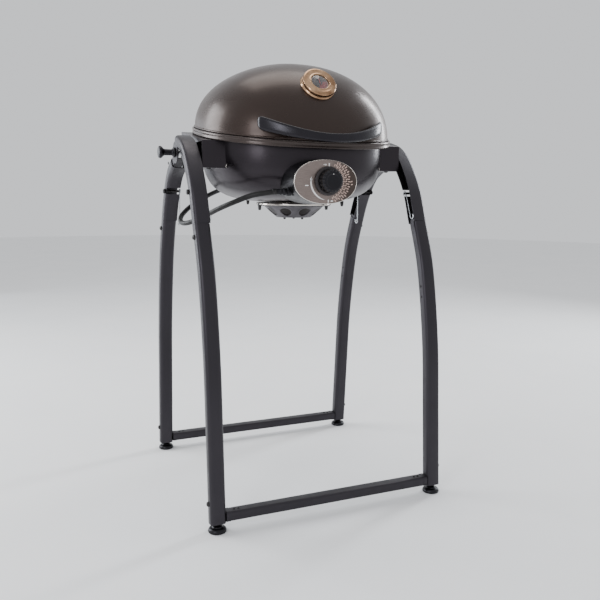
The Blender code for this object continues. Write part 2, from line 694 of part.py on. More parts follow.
def make_grease_catcher():
    plate_top = BOWL_BOTTOM_Z - 0.0010
    turned("cup_plate",
           [(0.046, plate_top), (CUP_PLATE_RADIUS - 0.002, plate_top),
            (CUP_PLATE_RADIUS, plate_top - 0.002), (CUP_PLATE_RADIUS, plate_top - 0.0060),
            (CUP_PLATE_RADIUS - 0.0015, plate_top - 0.0060),
            (CUP_PLATE_RADIUS - 0.0025, plate_top - 0.0020), (0.046, plate_top - 0.0020)],
           (0, CUP_Y, 0), (0, 0, 1), "cast_aluminium", 24)
    rim = plate_top - 0.0045
    floor = 0.6590
    turned("grease_cup",
           [(0, floor + 0.0025), (0.0390, floor + 0.0025), (0.0420, floor + 0.0040),
            (0.0660, rim - 0.0070), (0.0700, rim - 0.0030), (0.0745, rim), (0.0760, rim - 0.001),
            (0.0740, rim - 0.0045), (0.0680, rim - 0.0080), (0.0440, floor + 0.0020),
            (0.0400, floor), (0, floor)],
           (0, CUP_Y, 0), (0, 0, 1), "cast_aluminium", 24)


# ---------------------------------------------------------------- carrying brackets
def make_cradle(side, word):
    low = (min(side * 0.150, side * CRADLE_OUTER_X), -CRADLE_HALF_Y, CRADLE_BOTTOM_Z)
    high = (max(side * 0.150, side * CRADLE_OUTER_X), CRADLE_HALF_Y, 0.840)
    cradle = box("side_cradle_" + word, low, high, "bowl_enamel")
    for vertex in cradle.data.vertices:
        if vertex.co.z > 0.80:
            vertex.co.z = rim_height(vertex.co.y) - RIM_HEIGHT - 0.0010
    pocket_low = (min(side * 0.150, side * 0.27), -CRADLE_HALF_Y + CRADLE_WALL,
                  CRADLE_BOTTOM_Z + CRADLE_WALL)
    pocket_high = (max(side * 0.150, side * 0.27), CRADLE_HALF_Y - CRADLE_WALL, 0.8300)
    pocket = box("cradle_pocket", pocket_low, pocket_high)
    rib = box("cradle_rib", (min(side * 0.150, side * 0.2400), -0.0150, CRADLE_BOTTOM_Z + 0.001),
              (max(side * 0.150, side * 0.2400), 0.0150, 0.8310))
    boss = rod("cradle_boss", (side * 0.215, HUB_Y, HUB_Z), (side * CRADLE_OUTER_X, HUB_Y, HUB_Z),
               0.013)
    bore = rod("cradle_bore", (side * 0.2200, HUB_Y, HUB_Z), (side * 0.26, HUB_Y, HUB_Z),
               HUB_PIN_RADIUS + GAP)
    cut(cradle, pocket)
    join(cradle, rib, boss)
    cut(cradle, bore, BOWL_OUTSIDE)
    rod("hub_pin_" + word, (side * 0.2210, HUB_Y, HUB_Z), (side * 0.2955, HUB_Y, HUB_Z),
        HUB_PIN_RADIUS, "zinc_steel", 20)


# ---------------------------------------------------------------- stand
def leg_path(side_y):
    """Dense centre line of a front (-1) or rear (1) leg, and the distances along it."""
    curve = catmull([(0, y, z) for y, z in LEG_LOWER + LEG_UPPER[side_y]], 16)
    runs = [0.0]
    for first, second in zip(curve, curve[1:]):
        runs.append(runs[-1] + (second - first).length)
    return curve, runs


LEG_PATHS = {side: leg_path(side) for side in (-1, 1)}


def leg_place(side_y, run):
    """Point at a distance along the leg's centre line."""
    curve, runs = LEG_PATHS[side_y]
    index = max(i for i in range(len(runs) - 1) if runs[i] <= max(run, 0.0))
    share = (run - runs[index]) / (runs[index + 1] - runs[index])
    return curve[index].lerp(curve[index + 1], share)


def leg_run_at(side_y, height):
    """Distance along the centre line at which it reaches a height."""
    curve, runs = LEG_PATHS[side_y]
    index = next(i for i, p in enumerate(curve) if p.z >= height)
    share = (height - curve[index - 1].z) / (curve[index].z - curve[index - 1].z)
    return runs[index - 1] + share * (runs[index] - runs[index - 1])


def leg_stations(side_x, side_y, start, end, count):
    """Stations along the leg; u points out along X, v away from the stand."""
    stations = []
    for k in range(count):
        run = start + (end - start) * k / (count - 1)
        place = leg_place(side_y, run)
        ahead = leg_place(side_y, run + 0.004) - leg_place(side_y, run - 0.004)
        normal = Vector((0, ahead.z, -ahead.y)).normalized()
        stations.append((Vector((side_x * LEG_X, side_y * place.y, place.z)),
                         Vector((side_x, 0, 0)), Vector((0, side_y * normal.y, normal.z))))
    return stations


def channel_section():
    """C section: web on the outer side, open towards the middle of the stand."""
    half_u, half_v, wall = LEG_WIDE / 2, LEG_DEEP / 2, CHANNEL_WALL
    outline = [(-half_u, -half_v)]
    for sign, first in ((-1, -90), (1, 0)):
        for k in range(2):
            angle = math.radians(first + 90 * k)
            outline.append((half_u - LEG_CORNER + LEG_CORNER * math.cos(angle),
                            sign * (half_v - LEG_CORNER) + LEG_CORNER * math.sin(angle)))
    outline += [(-half_u, half_v), (-half_u, half_v - wall), (half_u - wall - 0.003, half_v - wall),
                (half_u - wall, half_v - wall - 0.003), (half_u - wall, wall + 0.003 - half_v),
                (half_u - wall - 0.003, wall - half_v), (-half_u, wall - half_v)]
    return outline


def make_upper_leg(name, side_x, side_y):
    """Channel from the seam to the hub, with its notch and its hub plate."""
    seam = leg_run_at(side_y, SEAM_Z)
    end = LEG_PATHS[side_y][1][-1]
    leg = sweep(name, leg_stations(side_x, side_y, seam + GAP, end, 12),
                channel_section(), slot="stand_coat")
    web_out = side_x * (LEG_X + LEG_WIDE / 2)
    web_in = side_x * (LEG_X + LEG_WIDE / 2 - CHANNEL_WALL)
    skim = side_x * 0.0002       # keeps added and cut faces off the web's own faces
    pin_y = side_y * PIN_Y[side_y]
    notch_y = sorted((pin_y - side_y * 0.0255, pin_y - side_y * 0.0005))
    notch = box("flange_notch", (min(side_x * 0.2500, web_in + skim), notch_y[0], NOTCH_Z[0]),
                (max(side_x * 0.2500, web_in + skim), notch_y[1], NOTCH_Z[1]))
    pin_hole = rod("cross_pin_hole", (side_x * 0.275, pin_y, PIN_Z),
                   (side_x * 0.295, pin_y, PIN_Z), PIN_RADIUS + GAP, segments=18)
    hub_hole = rod("hub_hole", (side_x * 0.270, HUB_Y, HUB_Z), (side_x * 0.300, HUB_Y, HUB_Z),
                   HUB_PIN_RADIUS + GAP)
    clearance = rod("hub_clearance", (side_x * 0.245, HUB_Y, HUB_Z), (web_in + skim, HUB_Y, HUB_Z),
                    TONGUE_RADIUS + 0.005, segments=28)
    cut(leg, notch, pin_hole)
    if side_y < 0:
        plate = rod("hub_plate", (web_in + 2 * skim, HUB_Y, HUB_Z), (web_out - skim, HUB_Y, HUB_Z),
                    HUB_RADIUS, segments=32)
        cut(leg, clearance)
        join(leg, plate)
        cut(leg, hub_hole)
    else:
        room = rod("front_leg_room", (side_x * 0.245, HUB_Y, HUB_Z), (side_x * 0.300, HUB_Y, HUB_Z),
                   HUB_RADIUS + 0.0012, segments=32)
        tongue_out = web_in - side_x * 0.0005
        tongue_in = tongue_out - side_x * TONGUE_THICK
        tongue = hub_tongue(tongue_in, tongue_out, TONGUE_RADIUS, 0.082, 0.0095)
        doubler = hub_tongue(tongue_in + 2 * skim, web_in + 5 * skim, 0.0, 0.080, 0.0088, 0.060)
        cut(leg, room)
        join(tongue, doubler)
        join(leg, tongue)
        cut(leg, hub_hole)
    return leg


def hub_tongue(x_in, x_out, eye, far, half, near=0.0):
    """Flat tongue from the hub towards the rear leg, with a round eye or cut off short."""
    hub = Vector((0, HUB_Y, HUB_Z))
    along = (Vector((0, *LEG_UPPER[1][1])) - hub).normalized()
    across = Vector((0, -along.z, along.y))
    if eye:
        first = math.asin(half / eye)
        angles = [first + (2 * math.pi - 2 * first) * k / 20 for k in range(21)]
        outline = [(eye * math.cos(a), eye * math.sin(a)) for a in angles]
    else:
        outline = [(near, half), (near, -half)]
    outline += [(far, -half), (far, half)]
    stations = [(hub + Vector((x, 0, 0)), along, across) for x in (x_in, x_out)]
    return sweep("hub_tongue", stations, outline)


def make_frame(word, side_y):
    """One folding frame: two legs, the floor bar between them, pins and hooks."""
    outer = rounded_rectangle(LEG_WIDE, LEG_DEEP, LEG_CORNER, 1)
    inner = rounded_rectangle(LEG_WIDE - 2 * TUBE_WALL, LEG_DEEP - 2 * TUBE_WALL,
                              LEG_CORNER - TUBE_WALL, 1)
    for side_x, hand in ((-1, "left"), (1, "right")):
        tag = word + "_" + hand
        make_upper_leg("leg_channel_" + tag, side_x, side_y)
        sweep("leg_tube_" + tag, leg_stations(side_x, side_y, 0.0, leg_run_at(side_y, SEAM_Z), 10),
              outer, inner, "stand_coat")
        make_cross_pin("cross_pin_" + tag, side_x, side_y)
        make_hook("wire_hook_" + tag, side_x, side_y)
        make_foot("foot_" + tag, side_x, side_y)
    half = LEG_X - LEG_WIDE / 2 - GAP
    bar_y = side_y * 0.2585
    stations = [(Vector((x, bar_y, BAR_Z)), Vector((0, 1, 0)), Vector((0, 0, 1)))
                for x in (-half, half)]
    sweep("floor_bar_" + word, stations, rounded_rectangle(BAR_DEEP, BAR_TALL, 0.004, 1),
          rounded_rectangle(BAR_DEEP - 2 * TUBE_WALL, BAR_TALL - 2 * TUBE_WALL, 0.0025, 1),
          "stand_coat")


def make_cross_pin(name, side_x, side_y):
    face = side_x * (LEG_X + LEG_WIDE / 2 + GAP)
    turned(name, [(0, 0.0050), (0.0045, 0.0050), (0.0060, 0.0035), (0.0060, 0.0),
                  (PIN_RADIUS, 0.0), (PIN_RADIUS, -0.0392), (0, -0.0392)],
           (face, side_y * PIN_Y[side_y], PIN_Z), (side_x, 0, 0), "zinc_steel", 12)


def make_hook(name, side_x, side_y):
    """Wire hook: an eye round the cross pin, a straight shank and a J end.

    It hangs just inside the channel's open side; the front ones lie along the leg.
    """
    eye_radius = PIN_RADIUS + 0.0009 + WIRE_RADIUS
    lean = math.radians(24) if side_y < 0 else 0.0
    shank, bend = (0.0640, 0.0060) if side_y < 0 else (0.0780, 0.0065)
    flat = []
    for k in range(9):
        angle = math.radians(35 + 36 * k)
        flat.append((eye_radius * math.cos(angle), eye_radius * math.sin(angle)))
    flat.append((eye_radius * 0.97, -0.006))
    flat.append((eye_radius, -shank))
    for k in range(1, 6):
        angle = math.radians(180 + 42 * k)
        flat.append((eye_radius + bend * (1 + math.cos(angle)), -shank + bend * math.sin(angle)))
    points = []
    for across, up in flat:
        y = across * math.cos(lean) - up * math.sin(lean)
        z = across * math.sin(lean) + up * math.cos(lean)
        points.append((side_x * HOOK_X, side_y * (PIN_Y[side_y] + y), PIN_Z + z))
    wire(name, points, WIRE_RADIUS, "zinc_steel")


def make_foot(name, side_x, side_y):
    turned(name, [(0, 0.0480), (0.0040, 0.0480), (0.0040, 0.0130), (0.0100, 0.0120),
                  (0.0160, 0.0095), (FOOT_RADIUS, 0.0045), (FOOT_RADIUS, 0.0008),
                  (FOOT_RADIUS - 0.0010, 0.0), (0, 0.0)],
           (side_x * LEG_X, side_y * FOOT_Y, 0), (0, 0, 1), "black_plastic", 16)


def make_clamp_knob(side, word):
    face = side * (LEG_X + LEG_WIDE / 2 + GAP)
    turned("clamp_knob_" + word,
           [(0, 0.0385), (0.0120, 0.0385), (0.0140, 0.0365), (0.0140, 0.0315), (0.0120, 0.0290),
            (0.0075, 0.0265), (0.0070, 0.0080), (0.0115, 0.0030), (0.0115, 0.0),
            (HUB_PIN_RADIUS + GAP, 0.0), (HUB_PIN_RADIUS + GAP, 0.0130), (0, 0.0130)],
           (face, HUB_Y, HUB_Z), (side, 0, 0), "black_plastic", 16)


# ---------------------------------------------------------------- the whole object
make_lid()
make_bowl()
make_hinge()
make_handle()
make_thermometer()
make_control_panel()
make_gas_train()
make_burner()
make_grease_catcher()
for hand_side, hand_word in ((-1, "left"), (1, "right")):
    make_grate(hand_side, hand_word)
    make_cradle(hand_side, hand_word)
    make_clamp_knob(hand_side, hand_word)
make_frame("front", -1)
make_frame("rear", 1)
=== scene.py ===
"""Looks for the portable gas barbecue: finer meshes, materials, light and camera.

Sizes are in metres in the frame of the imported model: the origin is on the floor midway
between the feet, +Z is up and -Y is the cook's side.
"""

import math

import bmesh
import bpy
from mathutils import Matrix, Vector


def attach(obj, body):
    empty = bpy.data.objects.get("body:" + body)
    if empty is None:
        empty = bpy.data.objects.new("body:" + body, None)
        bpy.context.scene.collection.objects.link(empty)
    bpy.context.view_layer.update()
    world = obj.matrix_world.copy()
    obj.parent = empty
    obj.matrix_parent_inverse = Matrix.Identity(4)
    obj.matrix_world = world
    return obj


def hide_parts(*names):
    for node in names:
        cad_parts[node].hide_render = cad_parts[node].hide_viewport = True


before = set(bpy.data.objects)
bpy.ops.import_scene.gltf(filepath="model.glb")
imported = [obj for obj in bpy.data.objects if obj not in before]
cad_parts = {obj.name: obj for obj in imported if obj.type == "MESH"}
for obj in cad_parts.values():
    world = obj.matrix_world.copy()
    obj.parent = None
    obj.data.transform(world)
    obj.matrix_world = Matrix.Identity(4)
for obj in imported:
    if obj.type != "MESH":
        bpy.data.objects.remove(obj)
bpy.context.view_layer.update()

# ---------------------------------------------------------------- dimensions shared with the frame
RIM_Z = 0.8626
RIM_SLOPE = 0.155
PLAN_POWER = 2.3
LID_HALF = Vector((0.230, 0.213))
LID_TOP_Z = 1.0205
LID_POWER = 2.1
LID_WALL = 0.0025
SEAT_GAP = 0.0006
BOWL_HALF = Vector((0.2165, 0.194))
BOWL_BOTTOM_Z = 0.696
BOWL_POWER = 3.8
BOWL_WALL = 0.003
RIM_OVERHANG = 0.006
RIM_HEIGHT = 0.0145

HANDLE_HALF_SPAN = 0.148
HANDLE_FRONT_Y = -0.2520
HANDLE_SAGITTA = 0.0740
HANDLE_LOW_Z = 0.8260
HANDLE_END_RISE = 0.0260
HANDLE_THICK = 0.012
HANDLE_TALL = 0.031
HANDLE_WAIST = 0.019

THERMO_FACE = Vector((-0.004, -0.1780, 0.9610))
THERMO_TILT = math.radians(36)
THERMO_AXIS = Vector((0, -math.cos(THERMO_TILT), math.sin(THERMO_TILT)))
THERMO_RADIUS = 0.0385
THERMO_WINDOW = 0.0205

PANEL = Vector((-0.0145, -0.2360, 0.7436))
PANEL_HALF_X = 0.0745
PANEL_HALF_Z = 0.0470
PANEL_GROWTH = 1.05
FASCIA_THICK = 0.002
KNOB_X = -0.0105
KNOB_Z = 0.7455
KNOB_RADIUS = 0.0255
KNOB_DEPTH = 0.0240
KNOB_GRIPS = 17                   # dimples and grooves round the knob
KNOB_GRIP_CIRCLE = 0.0222
KNOB_GRIP_RADIUS = 0.0022
PUSH_TRAVEL = 0.003

CUP_Y = -0.020
CUP_PLATE_RADIUS = 0.0915
CUP_FLOOR_Z = 0.6590
CUP_RIM_Z = BOWL_BOTTOM_Z - 0.0055
CUP_ROUNDS = 8                    # pressed rounds in the cup's wall
CUP_ROUND_RADIUS = 0.0142
CUP_ROUND_DEPTH = 0.0024
CUP_LIP_RADIUS = 0.0158
CUP_LIP_HEIGHT = 0.0010

LEG_X = 0.270
LEG_WIDE = 0.035
LEG_DEEP = 0.028
LEG_CORNER = 0.0085
TUBE_WALL = 0.0016
CHANNEL_WALL = 0.002
LEG_LOWER = ((0.2600, 0.0190), (0.2465, 0.2000), (0.2320, 0.3700), (0.2000, 0.5400),
             (0.1590, 0.6500))
LEG_UPPER = {-1: ((0.1275, 0.7280), (0.0830, 0.7890), (0.0440, 0.8200), (0.0000, 0.8335)),
             1: ((0.1250, 0.7150), (0.0860, 0.7610), (0.0400, 0.7861))}
SEAM_Z = 0.650
BAR_Y = 0.2585
BAR_Z = 0.0325
BAR_TALL = 0.022
BAR_DEEP = 0.026
BAR_CORNER = 0.0045
HUB_Z = 0.808
HUB_RADIUS = 0.025
PIN_Y = {-1: 0.1255, 1: 0.1160}
PIN_Z = 0.7192
PIN_RADIUS = 0.003
NOTCH_Z = (0.7120, 0.7270)
WIRE_RADIUS = 0.00125
HOOK_X = 0.2508
HUB_HOLE = {-1: Vector((0.0631, 0.7950)), 1: Vector((0.0736, 0.7860))}
FOOT_Y = 0.2600
FOOT_RADIUS = 0.020
CRADLE_HALF_Y = 0.096
# Thin silver lines down the front edge of each side cradle: painted highlights of that edge.
CRADLE_HIGHLIGHT_RADIUS = 0.0005
CRADLE_HIGHLIGHT_X = 0.1920
CLAMP_FACE_X = LEG_X + LEG_WIDE / 2 + 0.0003

HOSE_RADIUS = 0.00575
HOSE_ROUTE = ((-0.1160, -0.2040, 0.7215), (-0.1360, -0.2010, 0.7190), (-0.1660, -0.1870, 0.7130),
              (-0.1940, -0.1560, 0.6990), (-0.2190, -0.1120, 0.6820), (-0.2400, -0.0560, 0.6620),
              (-0.2600, -0.0120, 0.6480), (-0.2685, 0.0260, 0.6465), (-0.2610, 0.0620, 0.6590),
              (-0.2350, 0.0890, 0.6790), (-0.2000, 0.1140, 0.6975), (-0.1620, 0.1450, 0.7130),
              (-0.1240, 0.1740, 0.7250), (-0.0790, 0.2030, 0.7390), (-0.0300, 0.2150, 0.7450),
              (0.0030, 0.2150, 0.7450))
INLET = Vector((-0.0705, -0.2040, 0.7215))

SIDES = ((-1, "left"), (1, "right"))
FRAMES = ((-1, "front"), (1, "rear"))


# ---------------------------------------------------------------- materials
class Shader:
    """A Principled material with small helpers to wire its texture nodes."""

    def __init__(self, name, **constants):
        self.material = bpy.data.materials.new(name)
        self.material.use_nodes = True
        self.nodes = self.material.node_tree.nodes
        self.bsdf = self.nodes["Principled BSDF"]
        for label, value in constants.items():
            self.bsdf.inputs[label.replace("_", " ")].default_value = value
        self.place = self.new("ShaderNodeTexCoord").outputs["Object"]
        self.height = None

    def new(self, kind, **settings):
        node = self.nodes.new(kind)
        for label, value in settings.items():
            setattr(node, label, value)
        return node

    def link(self, output, target):
        self.material.node_tree.links.new(output, target)

    def stretched(self, scale):
        """Object coordinates scaled per axis."""
        mapping = self.new("ShaderNodeMapping")
        self.link(self.place, mapping.inputs["Vector"])
        mapping.inputs["Scale"].default_value = scale
        return mapping.outputs["Vector"]

    def noise(self, scale, detail=3.0, rough=0.5, stretch=(1, 1, 1), warp=0.0):
        node = self.new("ShaderNodeTexNoise")
        self.link(self.stretched(stretch), node.inputs["Vector"])
        node.inputs["Scale"].default_value = scale
        node.inputs["Detail"].default_value = detail
        node.inputs["Roughness"].default_value = rough
        node.inputs["Distortion"].default_value = warp
        return node.outputs["Fac"]

    def cells(self, scale):
        node = self.new("ShaderNodeTexVoronoi")
        self.link(self.place, node.inputs["Vector"])
        node.inputs["Scale"].default_value = scale
        return node.outputs["Distance"]

    def spread(self, value, low, high, start=0.3, end=0.7):
        """Map a texture's middle values onto a range."""
        node = self.new("ShaderNodeMapRange")
        self.link(value, node.inputs["Value"])
        for label, number in (("From Min", start), ("From Max", end), ("To Min", low), ("To Max", high)):
            node.inputs[label].default_value = number
        return node.outputs["Result"]

    def blend_colours(self, factor, first, second):
        node = self.new("ShaderNodeMix", data_type="RGBA")
        self.link(factor, node.inputs["Factor"])
        for socket, colour in ((node.inputs[6], first), (node.inputs[7], second)):
            if isinstance(colour, tuple):
                socket.default_value = (*colour, 1.0)
            else:
                self.link(colour, socket)
        return node.outputs[2]

    def colour(self, output):
        self.link(output, self.bsdf.inputs["Base Color"])

    def roughness(self, output):
        self.link(output, self.bsdf.inputs["Roughness"])

    def bump(self, value, strength, distance):
        node = self.new("ShaderNodeBump")
        node.inputs["Strength"].default_value = strength
        node.inputs["Distance"].default_value = distance
        self.link(value, node.inputs["Height"])
        if self.height:
            self.link(self.height, node.inputs["Normal"])
        self.height = node.outputs["Normal"]
        self.link(self.height, self.bsdf.inputs["Normal"])

    def worn_and_highlit_edges(self, base, bright):
        """Lighten the colour where the surface turns sharply, broken up by noise: rubbed wear and a painted
        edge highlight together.
        """
        bevel = self.new("ShaderNodeBevel", samples=4)
        bevel.inputs["Radius"].default_value = 0.0012
        geometry = self.new("ShaderNodeNewGeometry")
        dot = self.new("ShaderNodeVectorMath", operation="DOT_PRODUCT")
        self.link(bevel.outputs["Normal"], dot.inputs[0])
        self.link(geometry.outputs["Normal"], dot.inputs[1])
        edge = self.new("ShaderNodeMath", operation="SUBTRACT")
        edge.inputs[0].default_value = 1.0
        self.link(dot.outputs["Value"], edge.inputs[1])
        broken = self.new("ShaderNodeMath", operation="MULTIPLY")
        self.link(self.spread(edge.outputs[0], 0.0, 1.0, 0.02, 0.30), broken.inputs[0])
        self.link(self.spread(self.noise(90, 4), 0.1, 1.0, 0.35, 0.65), broken.inputs[1])
        return self.blend_colours(broken.outputs[0], base, bright)


def enamel(name, dark, light, rough, coat, tint):
    """Satin stove enamel: soft colour drift, orange peel, faint wiping marks."""
    shader = Shader(name, Metallic=0.0, Specular_IOR_Level=0.42, Coat_Weight=coat,
                    Coat_Roughness=0.16, Coat_Tint=(*tint, 1.0), Specular_Tint=(*tint, 1.0))
    drift = shader.spread(shader.noise(5.0, 4, 0.55, warp=0.4), 0.0, 1.0)
    base = shader.blend_colours(drift, dark, light)
    speck = shader.spread(shader.cells(900), 0.0, 0.35, 0.0, 0.16)
    shader.colour(shader.blend_colours(speck, tuple(1.6 * c for c in light), base))
    shader.roughness(shader.spread(shader.noise(14, 6, 0.6, stretch=(1, 1, 2.5)),
                                   rough - 0.05, rough + 0.07))
    shader.bump(shader.noise(420, 2, 0.4), 0.10, 0.0004)
    shader.bump(shader.noise(38, 2, 0.4), 0.05, 0.0012)
    return shader.material


def powder_coat(name, dark, light, rough=0.40, tint=(0.92, 0.86, 0.98)):
    """Textured powder coat on steel, lighter on its edges from rubbed wear and a painted edge highlight."""
    shader = Shader(name, Metallic=0.0, Specular_IOR_Level=0.50, Specular_Tint=(*tint, 1.0))
    drift = shader.spread(shader.noise(7.0, 5, 0.6), 0.0, 1.0)
    base = shader.blend_colours(drift, dark, light)
    shader.colour(shader.worn_and_highlit_edges(base, tuple(1.6 * c + 0.003 for c in light)))
    shader.roughness(shader.spread(shader.noise(30, 5, 0.6), rough - 0.06, rough + 0.10))
    shader.bump(shader.noise(700, 3, 0.5), 0.22, 0.0004)
    return shader.material


def plastic(name, dark, light, rough, grain=1100.0, depth=0.18):
    """Moulded plastic with fine spark-eroded grain."""
    shader = Shader(name, Metallic=0.0, Specular_IOR_Level=0.32, Specular_Tint=(0.92, 0.90, 1.0, 1.0))
    drift = shader.spread(shader.noise(12, 4, 0.6), 0.0, 1.0)
    base = shader.blend_colours(drift, dark, light)
    # Edges lighter: wear together with a painted edge highlight.
    shader.colour(shader.worn_and_highlit_edges(base, tuple(1.8 * c + 0.008 for c in light)))
    shader.roughness(shader.spread(shader.noise(45, 4, 0.55), rough - 0.05, rough + 0.07))
    shader.bump(shader.cells(grain), depth, 0.0003)
    return shader.material


def metal(name, dark, light, rough, scratch=(1, 1, 1), scale=80.0, depth=0.08):
    """Plated or machined metal; scratch stretches its marks along an axis."""
    shader = Shader(name, Metallic=1.0)
    drift = shader.spread(shader.noise(22, 5, 0.6), 0.0, 1.0)
    shader.colour(shader.blend_colours(drift, dark, light))
    marks = shader.noise(scale, 5, 0.6, stretch=scratch)
    shader.roughness(shader.spread(marks, rough - 0.06, rough + 0.10))
    shader.bump(marks, depth, 0.0003)
    return shader.material


def casting(name, dark, light, metallic, rough, pits=260.0, depth=0.5):
    """Sand or die casting with a pitted skin."""
    shader = Shader(name, Metallic=metallic)
    drift = shader.spread(shader.noise(18, 6, 0.65), 0.0, 1.0)
    base = shader.blend_colours(drift, dark, light)
    # Edges lighter: wear together with a painted edge highlight.
    shader.colour(shader.worn_and_highlit_edges(base, tuple(min(1.0, 1.5 * c + 0.02) for c in light)))
    shader.roughness(shader.spread(shader.noise(60, 5, 0.6), rough - 0.08, rough + 0.10))
    shader.bump(shader.noise(pits, 5, 0.6), depth, 0.0005)
    shader.bump(shader.cells(pits * 1.7), depth * 0.3, 0.0003)
    return shader.material


def cup_material():
    """Cast aluminium cup, with painted shade making the pressed rounds of its wall dark."""
    shader = Shader("grease_cup_metal", Metallic=0.85)
    mask = shader.new("ShaderNodeAttribute", attribute_name="recess").outputs["Fac"]
    drift = shader.spread(shader.noise(20, 6, 0.65), 0.0, 1.0)
    base = shader.blend_colours(drift, (0.055, 0.051, 0.057), (0.120, 0.112, 0.122))
    # Painted shade: the pressed rounds, marked by the recess layer, take a near-black colour.
    painted_recess_shade = shader.blend_colours(drift, (0.010, 0.008, 0.008), (0.024, 0.020, 0.020))
    shader.colour(shader.blend_colours(mask, base, painted_recess_shade))
    shader.roughness(shader.spread(shader.noise(70, 5, 0.6), 0.34, 0.5))
    shader.bump(shader.noise(320, 5, 0.6), 0.35, 0.0004)
    return shader.material


def fascia_material():
    """Bronze-grey metal brushed along X, with a clear lacquer; painted shade darkens it towards its right
    side.
    """
    shader = Shader("fascia_brushed", Metallic=0.9, Coat_Weight=0.25, Coat_Roughness=0.15,
                    Anisotropic=0.4)
    lines = shader.noise(60, 6, 0.7, stretch=(1, 14, 40))
    brushed = shader.blend_colours(shader.spread(lines, 0.0, 1.0, 0.35, 0.65),
                                   (0.170, 0.134, 0.122), (0.300, 0.246, 0.222))
    # Painted shade: the brushed colour darkens towards the fascia's right side, away from the light.
    apart = shader.new("ShaderNodeSeparateXYZ")
    shader.link(shader.place, apart.inputs[0])
    painted_shade = shader.spread(apart.outputs["X"], 0.0, 0.86, PANEL.x + 0.004, PANEL.x + 0.052)
    shader.colour(shader.blend_colours(painted_shade, brushed, (0.045, 0.030, 0.024)))
    shader.roughness(shader.spread(lines, 0.30, 0.44))
    shader.bump(lines, 0.10, 0.0002)
    return shader.material


def dial_material():
    """Thermometer face: dark ground, a red hot zone and a pale scale ring."""
    shader = Shader("thermometer_face", Metallic=0.0, Roughness=0.45)
    axis = THERMO_AXIS
    side = Vector((1, 0, 0))
    rise = axis.cross(side).normalized()
    offset = shader.new("ShaderNodeVectorMath", operation="SUBTRACT")
    shader.link(shader.place, offset.inputs[0])
    offset.inputs[1].default_value = THERMO_FACE
    parts = []
    for direction in (side, rise):
        dot = shader.new("ShaderNodeVectorMath", operation="DOT_PRODUCT")
        shader.link(offset.outputs[0], dot.inputs[0])
        dot.inputs[1].default_value = direction
        parts.append(dot.outputs["Value"])
    angle = shader.new("ShaderNodeMath", operation="ARCTAN2")
    shader.link(parts[1], angle.inputs[0])
    shader.link(parts[0], angle.inputs[1])
    join = shader.new("ShaderNodeCombineXYZ")
    shader.link(parts[0], join.inputs[0])
    shader.link(parts[1], join.inputs[1])
    length = shader.new("ShaderNodeVectorMath", operation="LENGTH")
    shader.link(join.outputs[0], length.inputs[0])
    radius = length.outputs["Value"]
    red = shader.new("ShaderNodeMath", operation="MULTIPLY")
    shader.link(shader.spread(angle.outputs[0], 1.0, 0.0, 0.15, 0.35), red.inputs[0])
    shader.link(shader.spread(radius, 0.0, 1.0, 0.0060, 0.0075), red.inputs[1])
    below = shader.new("ShaderNodeMath", operation="MULTIPLY")
    shader.link(red.outputs[0], below.inputs[0])
    shader.link(shader.spread(angle.outputs[0], 0.0, 1.0, -1.9, -1.7), below.inputs[1])
    ground = shader.blend_colours(shader.spread(shader.noise(160, 3), 0.0, 1.0),
                                  (0.040, 0.032, 0.034), (0.070, 0.055, 0.055))
    face = shader.blend_colours(below.outputs[0], ground, (0.30, 0.060, 0.062))
    ring = shader.spread(radius, 0.0, 0.8, 0.0172, 0.0178)
    shader.colour(shader.blend_colours(ring, face, (0.34, 0.26, 0.22)))
    shader.bump(shader.noise(900, 2), 0.08, 0.0002)
    return shader.material


def glass_material():
    """Domed window glass; kept thin and clear, with faint dust in its roughness."""
    shader = Shader("window_glass", Transmission_Weight=1.0, IOR=1.46)
    shader.colour(shader.blend_colours(shader.spread(shader.noise(40, 4), 0.0, 1.0),
                                       (0.93, 0.95, 0.95), (1.0, 1.0, 1.0)))
    shader.roughness(shader.spread(shader.noise(120, 5, 0.6), 0.0, 0.06, 0.45, 0.75))
    return shader.material


def print_material(name, dark, light):
    """Pad-printed ink; the same build also makes the near-black painted shadow of holes."""
    shader = Shader(name, Specular_IOR_Level=0.4)
    shader.colour(shader.blend_colours(shader.spread(shader.noise(500, 4), 0.0, 1.0), dark, light))
    shader.roughness(shader.spread(shader.noise(700, 3), 0.4, 0.6))
    shader.bump(shader.noise(1500, 2), 0.1, 0.0001)
    return shader.material


def hose_material():
    """Extruded rubber hose with fine length-wise and cross marks."""
    shader = Shader("hose_rubber_skin", Specular_IOR_Level=0.30)
    drift = shader.spread(shader.noise(60, 5, 0.6), 0.0, 1.0)
    shader.colour(shader.blend_colours(drift, (0.0030, 0.0030, 0.0030), (0.0080, 0.0074, 0.0074)))
    shader.roughness(shader.spread(shader.noise(90, 4), 0.38, 0.56))
    shader.bump(shader.noise(600, 4, 0.6), 0.25, 0.0004)
    return shader.material


